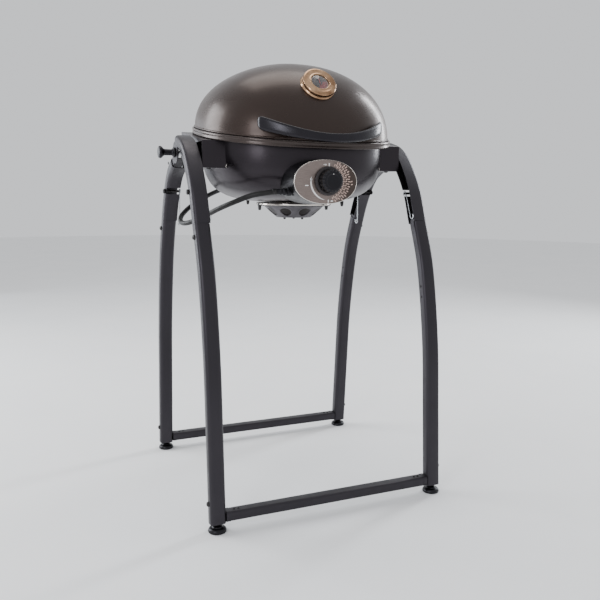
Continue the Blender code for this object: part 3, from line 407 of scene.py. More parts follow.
M = {
    "lid": enamel("lid_satin_enamel", (0.0066, 0.0042, 0.0036), (0.0105, 0.0068, 0.0058), 0.29, 0.12,
                  (1.0, 0.80, 0.72)),
    "bowl": enamel("bowl_satin_enamel", (0.0010, 0.0008, 0.0011), (0.0020, 0.0016, 0.0021), 0.32, 0.08,
                   (0.94, 0.82, 0.92)),
    "rim": enamel("rim_satin_enamel", (0.0080, 0.0060, 0.0056), (0.0130, 0.0100, 0.0094), 0.27, 0.3,
                  (1.0, 0.84, 0.78)),
    "handle": plastic("handle_moulded", (0.0048, 0.0040, 0.0050), (0.0082, 0.0070, 0.0088), 0.24, 1500, 0.06),
    "black": plastic("black_moulded", (0.0016, 0.0016, 0.0020), (0.0034, 0.0034, 0.0038), 0.33),
    "knob": plastic("knob_moulded", (0.0012, 0.0012, 0.0014), (0.0026, 0.0026, 0.0030), 0.34, 1800, 0.08),
    "skirt": plastic("knob_skirt_moulded", (0.018, 0.015, 0.014), (0.030, 0.025, 0.023), 0.40),
    "coat": powder_coat("stand_powder_coat", (0.0036, 0.0030, 0.0034), (0.0068, 0.0058, 0.0064)),
    "zinc": metal("zinc_plate", (0.48, 0.50, 0.52), (0.70, 0.72, 0.74), 0.28),
    "dark_bolt": metal("blackened_steel", (0.030, 0.029, 0.030), (0.060, 0.058, 0.058), 0.38),
    # Painted reflection: the copper drifts in patches from dark brown to bright gold to stand for uneven
    # reflections on the thermometer bezel.
    "copper": metal("copper_chrome_plate", (0.20, 0.105, 0.055), (0.74, 0.48, 0.29), 0.12, depth=0.03),
    "silver": metal("bright_trim", (0.62, 0.56, 0.52), (0.82, 0.77, 0.72), 0.18, depth=0.04),
    "brass": metal("brass_machined", (0.52, 0.37, 0.15), (0.66, 0.50, 0.24), 0.28),
    "steel": metal("burner_stainless", (0.34, 0.31, 0.27), (0.52, 0.50, 0.47), 0.34, (1, 1, 5)),
    "aluminium": casting("cast_aluminium_skin", (0.20, 0.20, 0.205), (0.34, 0.34, 0.345), 0.9, 0.42),
    "iron": casting("seasoned_cast_iron", (0.014, 0.013, 0.012), (0.034, 0.031, 0.029), 0.25, 0.55),
    "ceramic": print_material("glazed_ceramic", (0.70, 0.67, 0.60), (0.84, 0.81, 0.75)),
    "cup": cup_material(),
    "fascia": fascia_material(),
    "dial": dial_material(),
    "glass": glass_material(),
    "white_ink": print_material("white_print", (0.78, 0.76, 0.74), (0.92, 0.90, 0.88)),
    "rose_ink": print_material("rose_print", (0.46, 0.31, 0.26), (0.64, 0.47, 0.41)),
    "red_ink": print_material("needle_red_print", (0.42, 0.03, 0.03), (0.55, 0.06, 0.06)),
    # Painted shadow: near-black discs standing for the dark insides of holes in the leg webs.
    "hole": print_material("hole_shadow", (0.0015, 0.0015, 0.0015), (0.004, 0.004, 0.004)),
    "hose": hose_material(),
}


# ---------------------------------------------------------------- making pieces
def settle(obj, finish, body, *nodes):
    """Give a piece its material, its body and the nodes it stands for."""
    obj.data.materials.clear()
    obj.data.materials.append(M[finish])
    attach(obj, body)
    if nodes:
        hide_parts(*nodes)
    return obj


def linked(name, data):
    """A new object in the scene that shows the given data."""
    obj = bpy.data.objects.new(name, data)
    bpy.context.scene.collection.objects.link(obj)
    return obj


def mesh_from(name, bm):
    """Turn a finished bmesh into a mesh."""
    mesh = bpy.data.meshes.new(name)
    bm.to_mesh(mesh)
    bm.free()
    return mesh


def mesh_piece(name, bm, finish, body, *nodes, sharp=35.0):
    """A smooth-shaded piece, with edges sharper than the given angle kept crisp."""
    bmesh.ops.recalc_face_normals(bm, faces=bm.faces)
    mesh = mesh_from(name, bm)
    mesh.shade_smooth()
    mesh.set_sharp_from_angle(angle=math.radians(sharp))
    return settle(linked(name, mesh), finish, body, *nodes)


def add_loft(bm, rings, wrap=False):
    """Closed body through rings of points; a ring of one point is a pole."""
    levels = [[bm.verts.new(p) for p in ring] for ring in rings]
    pairs = list(zip(levels, levels[1:]))
    if wrap:
        pairs.append((levels[-1], levels[0]))
    for low, high in pairs:
        count = max(len(low), len(high))
        for k in range(count):
            n = (k + 1) % count
            if len(low) == 1:
                bm.faces.new((low[0], high[n], high[k]))
            elif len(high) == 1:
                bm.faces.new((low[k], low[n], high[0]))
            else:
                bm.faces.new((low[k], low[n], high[n], high[k]))
    return levels


def add_prism(bm, rings):
    """Loft through rings, closed by a flat face at each end."""
    levels = add_loft(bm, rings)
    bm.faces.new(levels[0])
    bm.faces.new(levels[-1])


def frame_of(axis):
    """Two directions square to an axis."""
    axis = Vector(axis).normalized()
    side = Vector((1, 0, 0)) if abs(axis.x) < 0.9 else Vector((0, 1, 0))
    first = (side - axis * side.dot(axis)).normalized()
    return first, axis.cross(first).normalized(), axis


def turned_rings(profile, origin, axis, steps):
    """Rings of a profile of (radius, height) turned round an axis."""
    first, second, along = frame_of(axis)
    rings = []
    for radius, height in profile:
        centre = Vector(origin) + along * height
        if radius < 1e-6:
            rings.append([centre])
            continue
        rings.append([centre + radius * (math.cos(a) * first + math.sin(a) * second)
                      for a in (2 * math.pi * k / steps for k in range(steps))])
    return rings


def turned(name, profile, origin, axis, finish, body, *nodes, steps=64, sharp=35.0):
    bm = bmesh.new()
    wrap = profile[0][0] > 1e-6
    add_loft(bm, turned_rings(profile, origin, axis, steps), wrap)
    return mesh_piece(name, bm, finish, body, *nodes, sharp=sharp)


def rounded(profile, radius=0.0006, steps=3):
    """Round the inner corners of a profile of (radius, height) points."""
    points = [Vector(p) for p in profile]
    soft = [points[0]]
    for before, corner, after in zip(points, points[1:], points[2:]):
        a, b = before - corner, after - corner
        reach = min(radius, a.length * 0.45, b.length * 0.45)
        start, end = corner + a.normalized() * reach, corner + b.normalized() * reach
        for k in range(steps + 1):
            t = k / steps
            soft.append(start * (1 - t) ** 2 + corner * 2 * t * (1 - t) + end * t ** 2)
    soft.append(points[-1])
    return [tuple(p) for p in soft]


def catmull(points, steps):
    """A smooth curve through points, as a chain of short straight steps."""
    points = [Vector(p) for p in points]
    padded = [2 * points[0] - points[1], *points, 2 * points[-1] - points[-2]]
    smooth = []
    for a, b, c, d in zip(padded, padded[1:], padded[2:], padded[3:]):
        for k in range(steps):
            t = k / steps
            smooth.append(0.5 * (2 * b + (c - a) * t + (2 * a - 5 * b + 4 * c - d) * t ** 2
                                 + (3 * b - a - 3 * c + d) * t ** 3))
    smooth.append(points[-1])
    return smooth


def rounded_rectangle(width, height, radius, steps=5):
    outline = []
    for sx, sy, first in ((1, 1, 0), (-1, 1, 90), (-1, -1, 180), (1, -1, 270)):
        for k in range(steps + 1):
            angle = math.radians(first + 90 * k / steps)
            outline.append((sx * (width / 2 - radius) + radius * math.cos(angle),
                            sy * (height / 2 - radius) + radius * math.sin(angle)))
    return outline


def superellipse(power, count):
    """Unit outline between an ellipse (power 2) and a square (high powers)."""
    points = []
    for k in range(count):
        angle = 2 * math.pi * k / count
        c, s = math.cos(angle), math.sin(angle)
        points.append((math.copysign(abs(c) ** (2 / power), c),
                       math.copysign(abs(s) ** (2 / power), s)))
    return points


def add_sweep(bm, stations, outer, inner=None):
    """Section along stations of (origin, u, v); with an inner outline it is an open tube."""
    def skin(outline):
        return [[o + u * a + v * b for a, b in outline] for o, u, v in stations]
    if not inner:
        add_prism(bm, skin(outer))
        return
    shell, core = add_loft(bm, skin(outer)), add_loft(bm, skin(inner))
    for end in (0, -1):
        count = len(shell[end])
        for k in range(count):
            n = (k + 1) % count
            bm.faces.new((shell[end][k], shell[end][n], core[end][n], core[end][k]))


def wire(name, points, radius, finish, body, *nodes, resolution=5):
    """A round wire or hose along a chain of points."""
    curve = bpy.data.curves.new(name, "CURVE")
    curve.dimensions = "3D"
    curve.bevel_depth = radius
    curve.bevel_resolution = resolution
    curve.use_fill_caps = True
    spline = curve.splines.new("POLY")
    spline.points.add(len(points) - 1)
    for point, place in zip(spline.points, points):
        point.co = (*place, 1.0)
    return settle(linked(name, curve), finish, body, *nodes)


def cutter(name, bm):
    """A hidden solid for a Boolean, which isn't part of the object."""
    bmesh.ops.recalc_face_normals(bm, faces=bm.faces)
    return linked(name, mesh_from(name, bm))


def rod_cutter(start, end, radius, segments=40):
    start, end = Vector(start), Vector(end)
    bm = bmesh.new()
    bmesh.ops.create_cone(bm, cap_ends=True, segments=segments, radius1=radius, radius2=radius,
                          depth=(end - start).length)
    turn = Vector((0, 0, 1)).rotation_difference((end - start).normalized()).to_matrix().to_4x4()
    bmesh.ops.transform(bm, matrix=Matrix.Translation((start + end) / 2) @ turn, verts=bm.verts)
    return cutter("cut_rod", bm)


def box_cutter(low, high):
    bm = bmesh.new()
    bmesh.ops.create_cube(bm, size=1.0)
    bmesh.ops.scale(bm, vec=[high[i] - low[i] for i in range(3)], verts=bm.verts)
    bmesh.ops.translate(bm, vec=[(high[i] + low[i]) / 2 for i in range(3)], verts=bm.verts)
    return cutter("cut_box", bm)


def carve(obj, operation, *tools):
    """Apply Booleans to a piece's mesh and drop the tools."""
    for tool in tools:
        modifier = obj.modifiers.new("carve", "BOOLEAN")
        modifier.operation = operation
        modifier.solver = "EXACT"
        modifier.object = tool
    depsgraph = bpy.context.evaluated_depsgraph_get()
    done = bpy.data.meshes.new_from_object(obj.evaluated_get(depsgraph))
    obj.modifiers.clear()
    obj.data = done
    for tool in tools:
        bpy.data.objects.remove(tool)
    done.shade_smooth()
    done.set_sharp_from_angle(angle=math.radians(32))


def soften(obj, width=0.0006, segments=2, angle=40.0):
    """Small rounded edges on a hard-edged piece."""
    bevel = obj.modifiers.new("edge_round", "BEVEL")
    bevel.width = width
    bevel.segments = segments
    bevel.limit_method = "ANGLE"
    bevel.angle_limit = math.radians(angle)
    bevel.harden_normals = True


def carried(node, finish, width=0.0005):
    """Keep a CAD node's shape, with a finished material and softened edges."""
    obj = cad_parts[node]
    obj.data.materials.clear()
    obj.data.materials.append(M[finish])
    if width:
        soften(obj, width)


def bolt_head(bm, place, axis, radius, tall, socket=0.0, steps=24):
    """A domed button head, with a socket when one is asked for."""
    profile = [(radius, -0.0004), (radius, tall * 0.25), (radius * 0.86, tall * 0.72),
               (radius * 0.55, tall * 0.96)]
    if socket:
        profile += [(socket, tall), (socket * 0.92, tall * 0.35), (0, tall * 0.30)]
    else:
        profile += [(0, tall)]
    add_loft(bm, turned_rings([(0, -0.0004), *profile], place, axis, steps))


def hexagon_head(bm, place, axis, radius, tall):
    first, second, along = frame_of(axis)
    rings = [[Vector(place)]]
    for scale, height in ((0.98, 0.0), (1.0, tall * 0.08), (1.0, tall * 0.85), (0.90, tall)):
        rings.append([Vector(place) + along * height + radius * scale * (
            math.cos(math.radians(60 * k)) * first + math.sin(math.radians(60 * k)) * second)
            for k in range(6)])
    rings.append([Vector(place) + along * tall])
    add_loft(bm, rings)


# ---------------------------------------------------------------- lid, bowl and rim
def plan_ring(half_x, half_y, height, tilt, count):
    return [Vector((half_x * x, half_y * y, height + tilt * y))
            for x, y in superellipse(PLAN_POWER, count)]


def bowed(half, power, seat, end_z, count, segments, inset=0.0):
    """Rings from a rim seat to the closed end of a dome or bowl."""
    rings = []
    wide, deep = half.x - inset, half.y - inset
    for k in range(count):
        angle = math.pi / 2 * k / count
        rise = math.sin(angle) ** (2 / power)
        shrink = math.cos(angle) ** (2 / power)
        rings.append(plan_ring(wide * shrink, deep * shrink, seat * (1 - rise) + end_z * rise,
                               RIM_SLOPE * deep * (1 - rise), segments))
    return rings


def rim_ring(out, height, segments):
    """Ring that follows the lid's plan, moved outwards and up or down square to the seat."""
    wide, deep = LID_HALF.x + out, LID_HALF.y + out
    return plan_ring(wide, deep, RIM_Z + height, RIM_SLOPE * deep, segments)


def make_lid():
    segments = 160
    hem = [rim_ring(0.0020 * math.sin(a) + 0.0002, 0.0022 - 0.0021 * math.cos(a), segments)
           for a in (math.pi * k / 8 for k in range(0, 9))]
    outer = bowed(LID_HALF, LID_POWER, RIM_Z, LID_TOP_Z, 44, segments)
    outer[0] = rim_ring(0.0, 0.0052, segments)
    outer = [ring for ring in outer if ring[0].z > RIM_Z + 0.0048]
    inner = bowed(LID_HALF, LID_POWER, RIM_Z + 0.0003, LID_TOP_Z - LID_WALL, 22, segments, LID_WALL)
    bm = bmesh.new()
    add_loft(bm, [[Vector((0, 0, LID_TOP_Z - LID_WALL))], *reversed(inner), *hem, *outer,
                  [Vector((0, 0, LID_TOP_Z))]])
    mesh_piece("lid_shell", bm, "lid", "lid_assembly", "lid", sharp=50)


def make_bowl():
    segments = 160
    seat = RIM_Z - SEAT_GAP
    inner = bowed(BOWL_HALF, BOWL_POWER, seat, BOWL_BOTTOM_Z + BOWL_WALL, 24, segments, BOWL_WALL)
    outer = bowed(BOWL_HALF, BOWL_POWER, seat - 0.003, BOWL_BOTTOM_Z, 34, segments)
    bm = bmesh.new()
    ledge = rim_ring(RIM_OVERHANG - 0.0035, -SEAT_GAP, segments)
    under = rim_ring(RIM_OVERHANG - 0.0035, -SEAT_GAP - 0.003, segments)
    add_loft(bm, [[Vector((0, 0, BOWL_BOTTOM_Z + BOWL_WALL))], *reversed(inner), ledge, under,
                  *outer, [Vector((0, 0, BOWL_BOTTOM_Z))]])
    bowl = mesh_piece("bowl_shell", bm, "bowl", "grill_head", "bowl", sharp=50)
    carve(bowl, "DIFFERENCE", rod_cutter((0, CUP_Y, 0.68), (0, CUP_Y, 0.71), 0.030, 64))

    profile = [(-0.0032, -SEAT_GAP - 0.0002), (-0.0014, -SEAT_GAP), (-0.0004, -SEAT_GAP - 0.0007),
               (0.0, -SEAT_GAP - 0.0020), (0.0, -0.0050), (-0.0006, -0.0060), (-0.0006, -0.0100),
               (0.0, -0.0112), (0.0, -RIM_HEIGHT + 0.0012), (-0.0007, -RIM_HEIGHT + 0.0003),
               (-0.0020, -RIM_HEIGHT), (-0.0027, -RIM_HEIGHT + 0.0009), (-0.0031, -0.0050)]
    bm = bmesh.new()
    add_loft(bm, [rim_ring(RIM_OVERHANG + out, height, segments) for out, height in profile], wrap=True)
    mesh_piece("bowl_rim_band", bm, "rim", "grill_head", sharp=60)


def make_seat_details():
    """Carriage-bolt heads under the bowl and the screws of the side brackets."""
    bm = bmesh.new()
    for x, y in ((0.090, -0.105), (0.083, 0.085), (-0.083, 0.085)):
        bolt_head(bm, (x, y, BOWL_BOTTOM_Z + 0.0035), (0, 0, -1), 0.0042, 0.0125)
    for side in (-1, 1):
        for y in (-0.070, 0.070):
            bolt_head(bm, (side * 0.228, y, 0.7725), (0, 0, -1), 0.0050, 0.0032, 0.0020)
    mesh_piece("head_fasteners", bm, "dark_bolt", "grill_head")


# ---------------------------------------------------------------- handle
def handle_tall(x):
    return HANDLE_WAIST + (HANDLE_TALL - HANDLE_WAIST) * (x / HANDLE_HALF_SPAN) ** 2


def handle_point(x):
    radius = (HANDLE_HALF_SPAN ** 2 + HANDLE_SAGITTA ** 2) / (2 * HANDLE_SAGITTA)
    y = HANDLE_FRONT_Y + radius - math.sqrt(radius ** 2 - x ** 2)
    low = HANDLE_LOW_Z + HANDLE_END_RISE * (x / HANDLE_HALF_SPAN) ** 2
    return Vector((x, y, low + handle_tall(x) / 2))


def make_handle():
    """Arched band, bowed on its face, with rounded ends."""
    count = 72
    section = []
    for k in range(40):
        a = 2 * math.pi * k / 40
        c, s = math.cos(a), math.sin(a)
        section.append((math.copysign(abs(c) ** 0.75, c), math.copysign(abs(s) ** 0.55, s)))
    rings = [[handle_point(-HANDLE_HALF_SPAN - 0.0012)]]
    for k in range(count + 1):
        u = 2 * k / count - 1
        u = math.sin(u * math.pi / 2) * 0.35 + u * 0.65
        x = HANDLE_HALF_SPAN * u
        along = handle_point(x + 0.0005) - handle_point(x - 0.0005)
        out = Vector((along.y, -along.x, 0)).normalized()
        edge = max(0.0, (abs(x) - (HANDLE_HALF_SPAN - 0.010)) / 0.010)
        ease = math.sqrt(max(0.0, 1 - (edge * 0.93) ** 2.4))
        rings.append([handle_point(x) + out * (a * HANDLE_THICK / 2 * ease)
                      + Vector((0, 0, b * handle_tall(x) / 2 * (0.25 + 0.75 * ease))) for a, b in section])
    rings.append([handle_point(HANDLE_HALF_SPAN + 0.0012)])
    bm = bmesh.new()
    add_loft(bm, rings)
    mesh_piece("handle_band", bm, "handle", "lid_assembly", "lid_handle", sharp=60)
    for word in ("left", "right"):
        carried("handle_post_" + word, "handle", 0.0006)


# ---------------------------------------------------------------- thermometer
def make_thermometer():
    profile = [(THERMO_WINDOW, -0.0040), (THERMO_WINDOW, -0.0012), (THERMO_WINDOW + 0.0012, -0.0002),
               (THERMO_WINDOW + 0.0026, -0.0004), (THERMO_WINDOW + 0.0040, -0.0014),
               (0.0300, -0.0006), (0.0345, -0.0006), (0.0372, -0.0014), (THERMO_RADIUS, -0.0034),
               (THERMO_RADIUS, -0.0085), (THERMO_RADIUS - 0.0012, -0.0096), (THERMO_RADIUS - 0.0012, -0.0112),
               (THERMO_RADIUS + 0.0003, -0.0124), (THERMO_RADIUS + 0.0042, -0.0210),
               (THERMO_RADIUS + 0.0062, -0.0260), (THERMO_RADIUS + 0.0080, -0.0320),
               (THERMO_RADIUS - 0.0060, -0.0330), (THERMO_RADIUS - 0.0060, -0.0065),
               (THERMO_WINDOW, -0.0065)]
    turned("thermometer_case", rounded(profile, 0.0005, 3), THERMO_FACE, THERMO_AXIS, "copper",
           "lid_assembly", "thermometer_bezel", steps=96, sharp=50)
    turned("thermometer_face_plate", [(0, -0.0046), (THERMO_WINDOW - 0.0002, -0.0046),
                                      (THERMO_WINDOW - 0.0002, -0.0062), (0, -0.0062)],
           THERMO_FACE, THERMO_AXIS, "dial", "lid_assembly", "thermometer_dial")
    dome = [(0, -0.0006), (0.0080, -0.0009), (0.0145, -0.0016), (THERMO_WINDOW - 0.0002, -0.0026),
            (THERMO_WINDOW - 0.0002, -0.0034), (0.0145, -0.0024), (0.0080, -0.0017), (0, -0.0014)]
    turned("thermometer_window", dome, THERMO_FACE, THERMO_AXIS, "glass", "lid_assembly",
           "thermometer_glass", sharp=50)
    side, rise, axis = frame_of(THERMO_AXIS)
    bm = bmesh.new()
    for k in range(13):
        angle = math.radians(225 - 22.5 * k)
        out = math.cos(angle) * side + math.sin(angle) * rise
        over = axis.cross(out)
        tall = 0.0036 if k % 2 == 0 else 0.0022
        centre = THERMO_FACE + out * (0.0150 - tall / 2) + axis * -0.0045
        corners = [(u * 0.00035, v * tall / 2) for u, v in ((-1, -1), (1, -1), (1, 1), (-1, 1))]
        add_prism(bm, [[centre + over * a + out * b + axis * h for a, b in corners]
                       for h in (0.0, 0.00012)])
    mesh_piece("thermometer_scale", bm, "rose_ink", "lid_assembly")
    carried("thermometer_needle", "red_ink", 0)
    carried("thermometer_probe", "steel", 0)


# ---------------------------------------------------------------- control panel
def panel_ring(scale, y, inset=0.0, count=120):
    return [Vector((PANEL.x + (PANEL_HALF_X * scale - inset) * x, y,
                    PANEL.z + (PANEL_HALF_Z * scale - inset) * z))
            for x, z in superellipse(2.15, count)]


def flat_mark(bm, outline, y, thick=0.00018):
    """Raised print on the fascia from an outline of (x, z) points."""
    back = [Vector((x, y + 0.0002, z)) for x, z in outline]
    front = [Vector((x, y - thick, z)) for x, z in outline]
    add_prism(bm, [back, front])


def bar_outline(x, z, wide, tall, turn=0.0):
    c, s = math.cos(turn), math.sin(turn)
    outline = rounded_rectangle(wide, tall, min(wide, tall) * 0.45, 4)
    return [(x + a * c - b * s, z + a * s + b * c) for a, b in outline]


def about_knob(radius, angle):
    """The (x, z) of a point on the fascia round the knob."""
    return KNOB_X + radius * math.cos(angle), KNOB_Z + radius * math.sin(angle)


def inside_panel(x, z, margin):
    across = abs(x - PANEL.x) / (PANEL_HALF_X * margin)
    up = abs(z - PANEL.z) / (PANEL_HALF_Z * margin)
    return across ** 2.15 + up ** 2.15 < 1


def make_panel():
    housing = [panel_ring(0.985, PANEL.y + 0.0003), panel_ring(1.0, PANEL.y + 0.0016),
               panel_ring(1.004, PANEL.y + 0.0040), panel_ring(1.02, PANEL.y + 0.030),
               panel_ring(1.04, PANEL.y + 0.060), panel_ring(PANEL_GROWTH, -0.150)]
    walls = [panel_ring(PANEL_GROWTH, -0.150, 0.0025), panel_ring(1.004, PANEL.y + 0.0040, 0.0025),
             panel_ring(0.985, PANEL.y + 0.0003, 0.0025)]
    bm = bmesh.new()
    add_loft(bm, [*housing, *walls], wrap=True)
    shell = mesh_piece("panel_housing", bm, "black", "grill_head", "control_housing", sharp=50)
    bowl = bmesh.new()
    add_loft(bowl, [[Vector((0, 0, 0.88))], plan_ring(BOWL_HALF.x, BOWL_HALF.y, 0.88, 0.03, 96),
                    *bowed(BOWL_HALF, BOWL_POWER, RIM_Z - 0.0036, BOWL_BOTTOM_Z, 22, 96),
                    [Vector((0, 0, BOWL_BOTTOM_Z))]])
    carve(shell, "DIFFERENCE", cutter("cut_bowl", bowl),
          rod_cutter(INLET - Vector((0.05, 0, 0)), INLET + Vector((0.01, 0, 0)), 0.0090))

    y = PANEL.y
    bm = bmesh.new()
    face = y - FASCIA_THICK
    add_loft(bm, [[Vector((PANEL.x, y, PANEL.z))], panel_ring(0.975, y), panel_ring(0.975, face + 0.0002),
                  panel_ring(0.95, face), panel_ring(0.5, face), [Vector((PANEL.x, face, PANEL.z))]])
    plate = mesh_piece("fascia_plate", bm, "fascia", "grill_head", "control_fascia", sharp=50)
    carve(plate, "DIFFERENCE", rod_cutter((KNOB_X, y - 0.01, KNOB_Z), (KNOB_X, y + 0.01, KNOB_Z), 0.0055))
    bead = [(0.975, 0.0, 0.0), (0.985, 0.0, 0.0), (1.0, 0.0, -0.0007), (1.0, 0.0, -0.0016),
            (0.994, 0.0, -0.0023), (0.983, 0.0, -0.0025), (0.977, 0.0, -0.0021), (0.975, 0.0, -0.0012)]
    bm = bmesh.new()
    add_loft(bm, [panel_ring(scale + 0.0012, y + depth, inset) for scale, inset, depth in bead], wrap=True)
    mesh_piece("fascia_bright_edge", bm, "silver", "grill_head", sharp=60)

    white = bmesh.new()
    outer, inner = [], []
    for k in range(41):
        t = k / 40
        angle = math.radians(168 + 92 * t)
        wide = 0.0034 * math.sin(math.pi * min(1.0, t * 0.94 + 0.05)) ** 0.8
        middle = 0.0392 + 0.0016 * t
        outer.append(about_knob(middle + wide / 2, angle))
        inner.append(about_knob(middle - wide / 2, angle))
    flat_mark(white, outer + inner[::-1], face)
    flat_mark(white, bar_outline(KNOB_X - 0.0392, KNOB_Z + 0.0030, 0.0044, 0.0052), face)
    for x, z, wide, tall in ((-0.0490, -0.0100, 0.0078, 0.0020), (0.0030, 0.0345, 0.0026, 0.0066),
                             (-0.0050, 0.0345, 0.0030, 0.0030), (-0.0092, 0.0345, 0.0022, 0.0022),
                             (0.0020, -0.0430, 0.0022, 0.0062), (0.0115, -0.0428, 0.0078, 0.0026)):
        flat_mark(white, bar_outline(KNOB_X + x, KNOB_Z + z, wide, tall), face)
    mesh_piece("fascia_white_marks", white, "white_ink", "grill_head", sharp=60)

    rose = bmesh.new()
    for k in range(24):
        share = k / 23
        angle = math.radians(64 - 136 * share)
        reach = 0.006 + 0.0165 * math.sin(math.pi * (0.10 + 0.80 * share))
        for row in range(max(1, round(reach / 0.0064))):
            radius = 0.0372 + 0.0064 * row + 0.0022 * ((k + row) % 2)
            x, z = about_knob(radius, angle)
            if inside_panel(x, z, 0.93):
                flat_mark(rose, bar_outline(x, z, 0.0050 + 0.0008 * (k % 3), 0.0023,
                                            angle + 0.35 * (row % 2)), face)
    mesh_piece("fascia_scale_marks", rose, "rose_ink", "grill_head", sharp=60)


def make_knob():
    """Knob with a dished face, a ring of dimples and nubs, a wide skirt and a white dot; the nubs take a
    lighter plastic as painted highlights.
    """
    base = PANEL.y - FASCIA_THICK - PUSH_TRAVEL - 0.0010
    steps = 16 * KNOB_GRIPS
    profile = rounded([(0, KNOB_DEPTH - 0.0016), (0.0135, KNOB_DEPTH - 0.0012), (0.0160, KNOB_DEPTH),
                       (KNOB_RADIUS - 0.0035, KNOB_DEPTH - 0.0002),
                       (KNOB_RADIUS - 0.0012, KNOB_DEPTH - 0.0018), (KNOB_RADIUS, 0.0052),
                       (KNOB_RADIUS + 0.0004, 0.0034)], 0.0012, 5)
    bm = bmesh.new()
    rings = turned_rings(profile, (KNOB_X, base, KNOB_Z), (0, -1, 0), steps)
    centre = Vector((KNOB_X, base, KNOB_Z))
    for ring in rings:
        if len(ring) == 1:
            continue
        for k, point in enumerate(ring):
            off = point - centre
            depth = -off.y
            flat = Vector((off.x, 0, off.z))
            away = flat.length
            phase = (k / steps * KNOB_GRIPS + 0.5) % 1.0 - 0.5
            across = phase * 2 * math.pi * KNOB_GRIP_CIRCLE / KNOB_GRIPS
            near = math.hypot(across, away - KNOB_GRIP_CIRCLE)
            if depth > KNOB_DEPTH - 0.004 and near < KNOB_GRIP_RADIUS:
                point.y += 0.0012 * (1 - (near / KNOB_GRIP_RADIUS) ** 2) ** 0.8
            if away > KNOB_RADIUS - 0.0014:
                groove = 0.0016 * (0.5 + 0.5 * math.cos(2 * math.pi * k / steps * KNOB_GRIPS)) ** 2
                point -= flat.normalized() * groove
    back = turned_rings([(KNOB_RADIUS - 0.002, 0.0034), (KNOB_RADIUS - 0.002, 0.0016), (0.0043, 0.0016),
                         (0.0043, 0.0120), (0, 0.0120)], centre, (0, -1, 0), steps)
    add_loft(bm, [*rings, *back])
    mesh_piece("knob_cap", bm, "knob", "burner_knob", "control_knob", sharp=45)
    turned("knob_skirt", rounded([(KNOB_RADIUS - 0.0015, 0.0030), (KNOB_RADIUS + 0.0008, 0.0032),
                                  (0.0288, 0.0024), (0.0310, 0.0014), (0.0315, 0.0002),
                                  (0.0306, 0.0), (KNOB_RADIUS - 0.0015, 0.0008)], 0.0004, 3),
           centre, (0, -1, 0), "skirt", "burner_knob", steps=120, sharp=50)
    # Painted highlights: the grip nubs take the lighter skirt plastic so that they read as bright specks.
    nubs = bmesh.new()
    for k in range(KNOB_GRIPS):
        around = 2 * math.pi * (k + 0.5) / KNOB_GRIPS
        place = centre + Vector((0.0205 * math.cos(around), 0.0006 - KNOB_DEPTH, 0.0205 * math.sin(around)))
        add_loft(nubs, turned_rings([(0, 0.0007), (0.0009, 0.0006), (0.0016, 0.0001), (0.0016, -0.0006),
                                     (0, -0.0006)], place, (0, -1, 0), 16))
    mesh_piece("knob_grip_nubs_painted_highlight", nubs, "skirt", "burner_knob", sharp=50)
    dot = centre + Vector((0.0012, -(KNOB_DEPTH - 0.0012), 0.0168))
    turned("knob_white_dot", rounded([(0, 0.0007), (0.0031, 0.0005), (0.0034, -0.0004), (0, -0.0006)],
                                     0.0004, 3), dot, (0, -1, 0), "white_ink", "burner_knob", steps=32)
    carried("valve_stem", "zinc", 0.0003)
    carried("gas_valve", "brass", 0.0005)


# ---------------------------------------------------------------- gas train
def make_gas_train():
    fitting = [(0, 0.0455), (0.0064, 0.0455), (0.0064, 0.0375), (0.0074, 0.0370), (0.0074, 0.0345),
               (0.0064, 0.0340), (0.0064, 0.0312), (0.0080, 0.0300), (0.0080, 0.0255), (0.0068, 0.0245),
               (0.0068, 0.0225), (0.0094, 0.0215), (0.0094, 0.0130), (0.0072, 0.0122), (0.0072, 0.0098),
               (0.0088, 0.0090), (0.0088, 0.0), (0, 0.0)]
    turned("inlet_fitting_body", rounded(fitting, 0.0005, 3), INLET, (-1, 0, 0), "black", "grill_head",
           "gas_inlet_fitting", steps=48)
    route = catmull(HOSE_ROUTE, 12)
    hose = wire("hose_line", route, HOSE_RADIUS, "hose", "grill_head", "gas_hose", resolution=7)
    nut = Vector(HOSE_ROUTE[-1])
    for place, word, start in ((Vector(HOSE_ROUTE[0]), "front", 0.001), (nut, "rear", 0.002)):
        ferrule = [(HOSE_RADIUS + 0.0001, start), (HOSE_RADIUS + 0.0011, start + 0.0004),
                   (HOSE_RADIUS + 0.0011, start + 0.0030), (HOSE_RADIUS + 0.0007, start + 0.0036),
                   (HOSE_RADIUS + 0.0007, start + 0.0050), (HOSE_RADIUS + 0.0011, start + 0.0056),
                   (HOSE_RADIUS + 0.0011, start + 0.0090), (HOSE_RADIUS + 0.0001, start + 0.0094)]
        turned("hose_ferrule_" + word, rounded(ferrule, 0.0003, 2), place, (-1, 0, 0),
                           "dark_bolt", "grill_head", steps=40)
    bm = bmesh.new()
    hexagon_head(bm, nut + Vector((0.0006, 0, 0)), (1, 0, 0), 0.0112, 0.0150)
    connector = mesh_piece("hose_nut_hex", bm, "brass", "grill_head", "hose_nut")
    soften(connector, 0.0005)

    regulator = Vector((0.0440, 0.2200, 0.7450))
    body = [(0, 0.0172), (0.0105, 0.0172), (0.0118, 0.0160), (0.0150, 0.0158), (0.0168, 0.0142),
            (0.0172, 0.0070), (0.0205, 0.0052), (0.0240, 0.0040), (0.0250, 0.0022), (0.0250, -0.0060),
            (0.0238, -0.0078), (0, -0.0080)]
    turned("regulator_body", rounded(body, 0.0008, 4), regulator, (0, 1, 0), "aluminium", "grill_head",
           "gas_regulator", steps=64)
    bm = bmesh.new()
    for k in range(6):
        angle = math.radians(60 * k + 30)
        place = regulator + Vector((0.0216 * math.cos(angle), 0.0040, 0.0216 * math.sin(angle)))
        bolt_head(bm, place, (0, 1, 0), 0.0019, 0.0016, 0.0008, 16)
    mesh_piece("regulator_screws", bm, "zinc", "grill_head")
    carried("regulator_clip", "zinc", 0.0006)


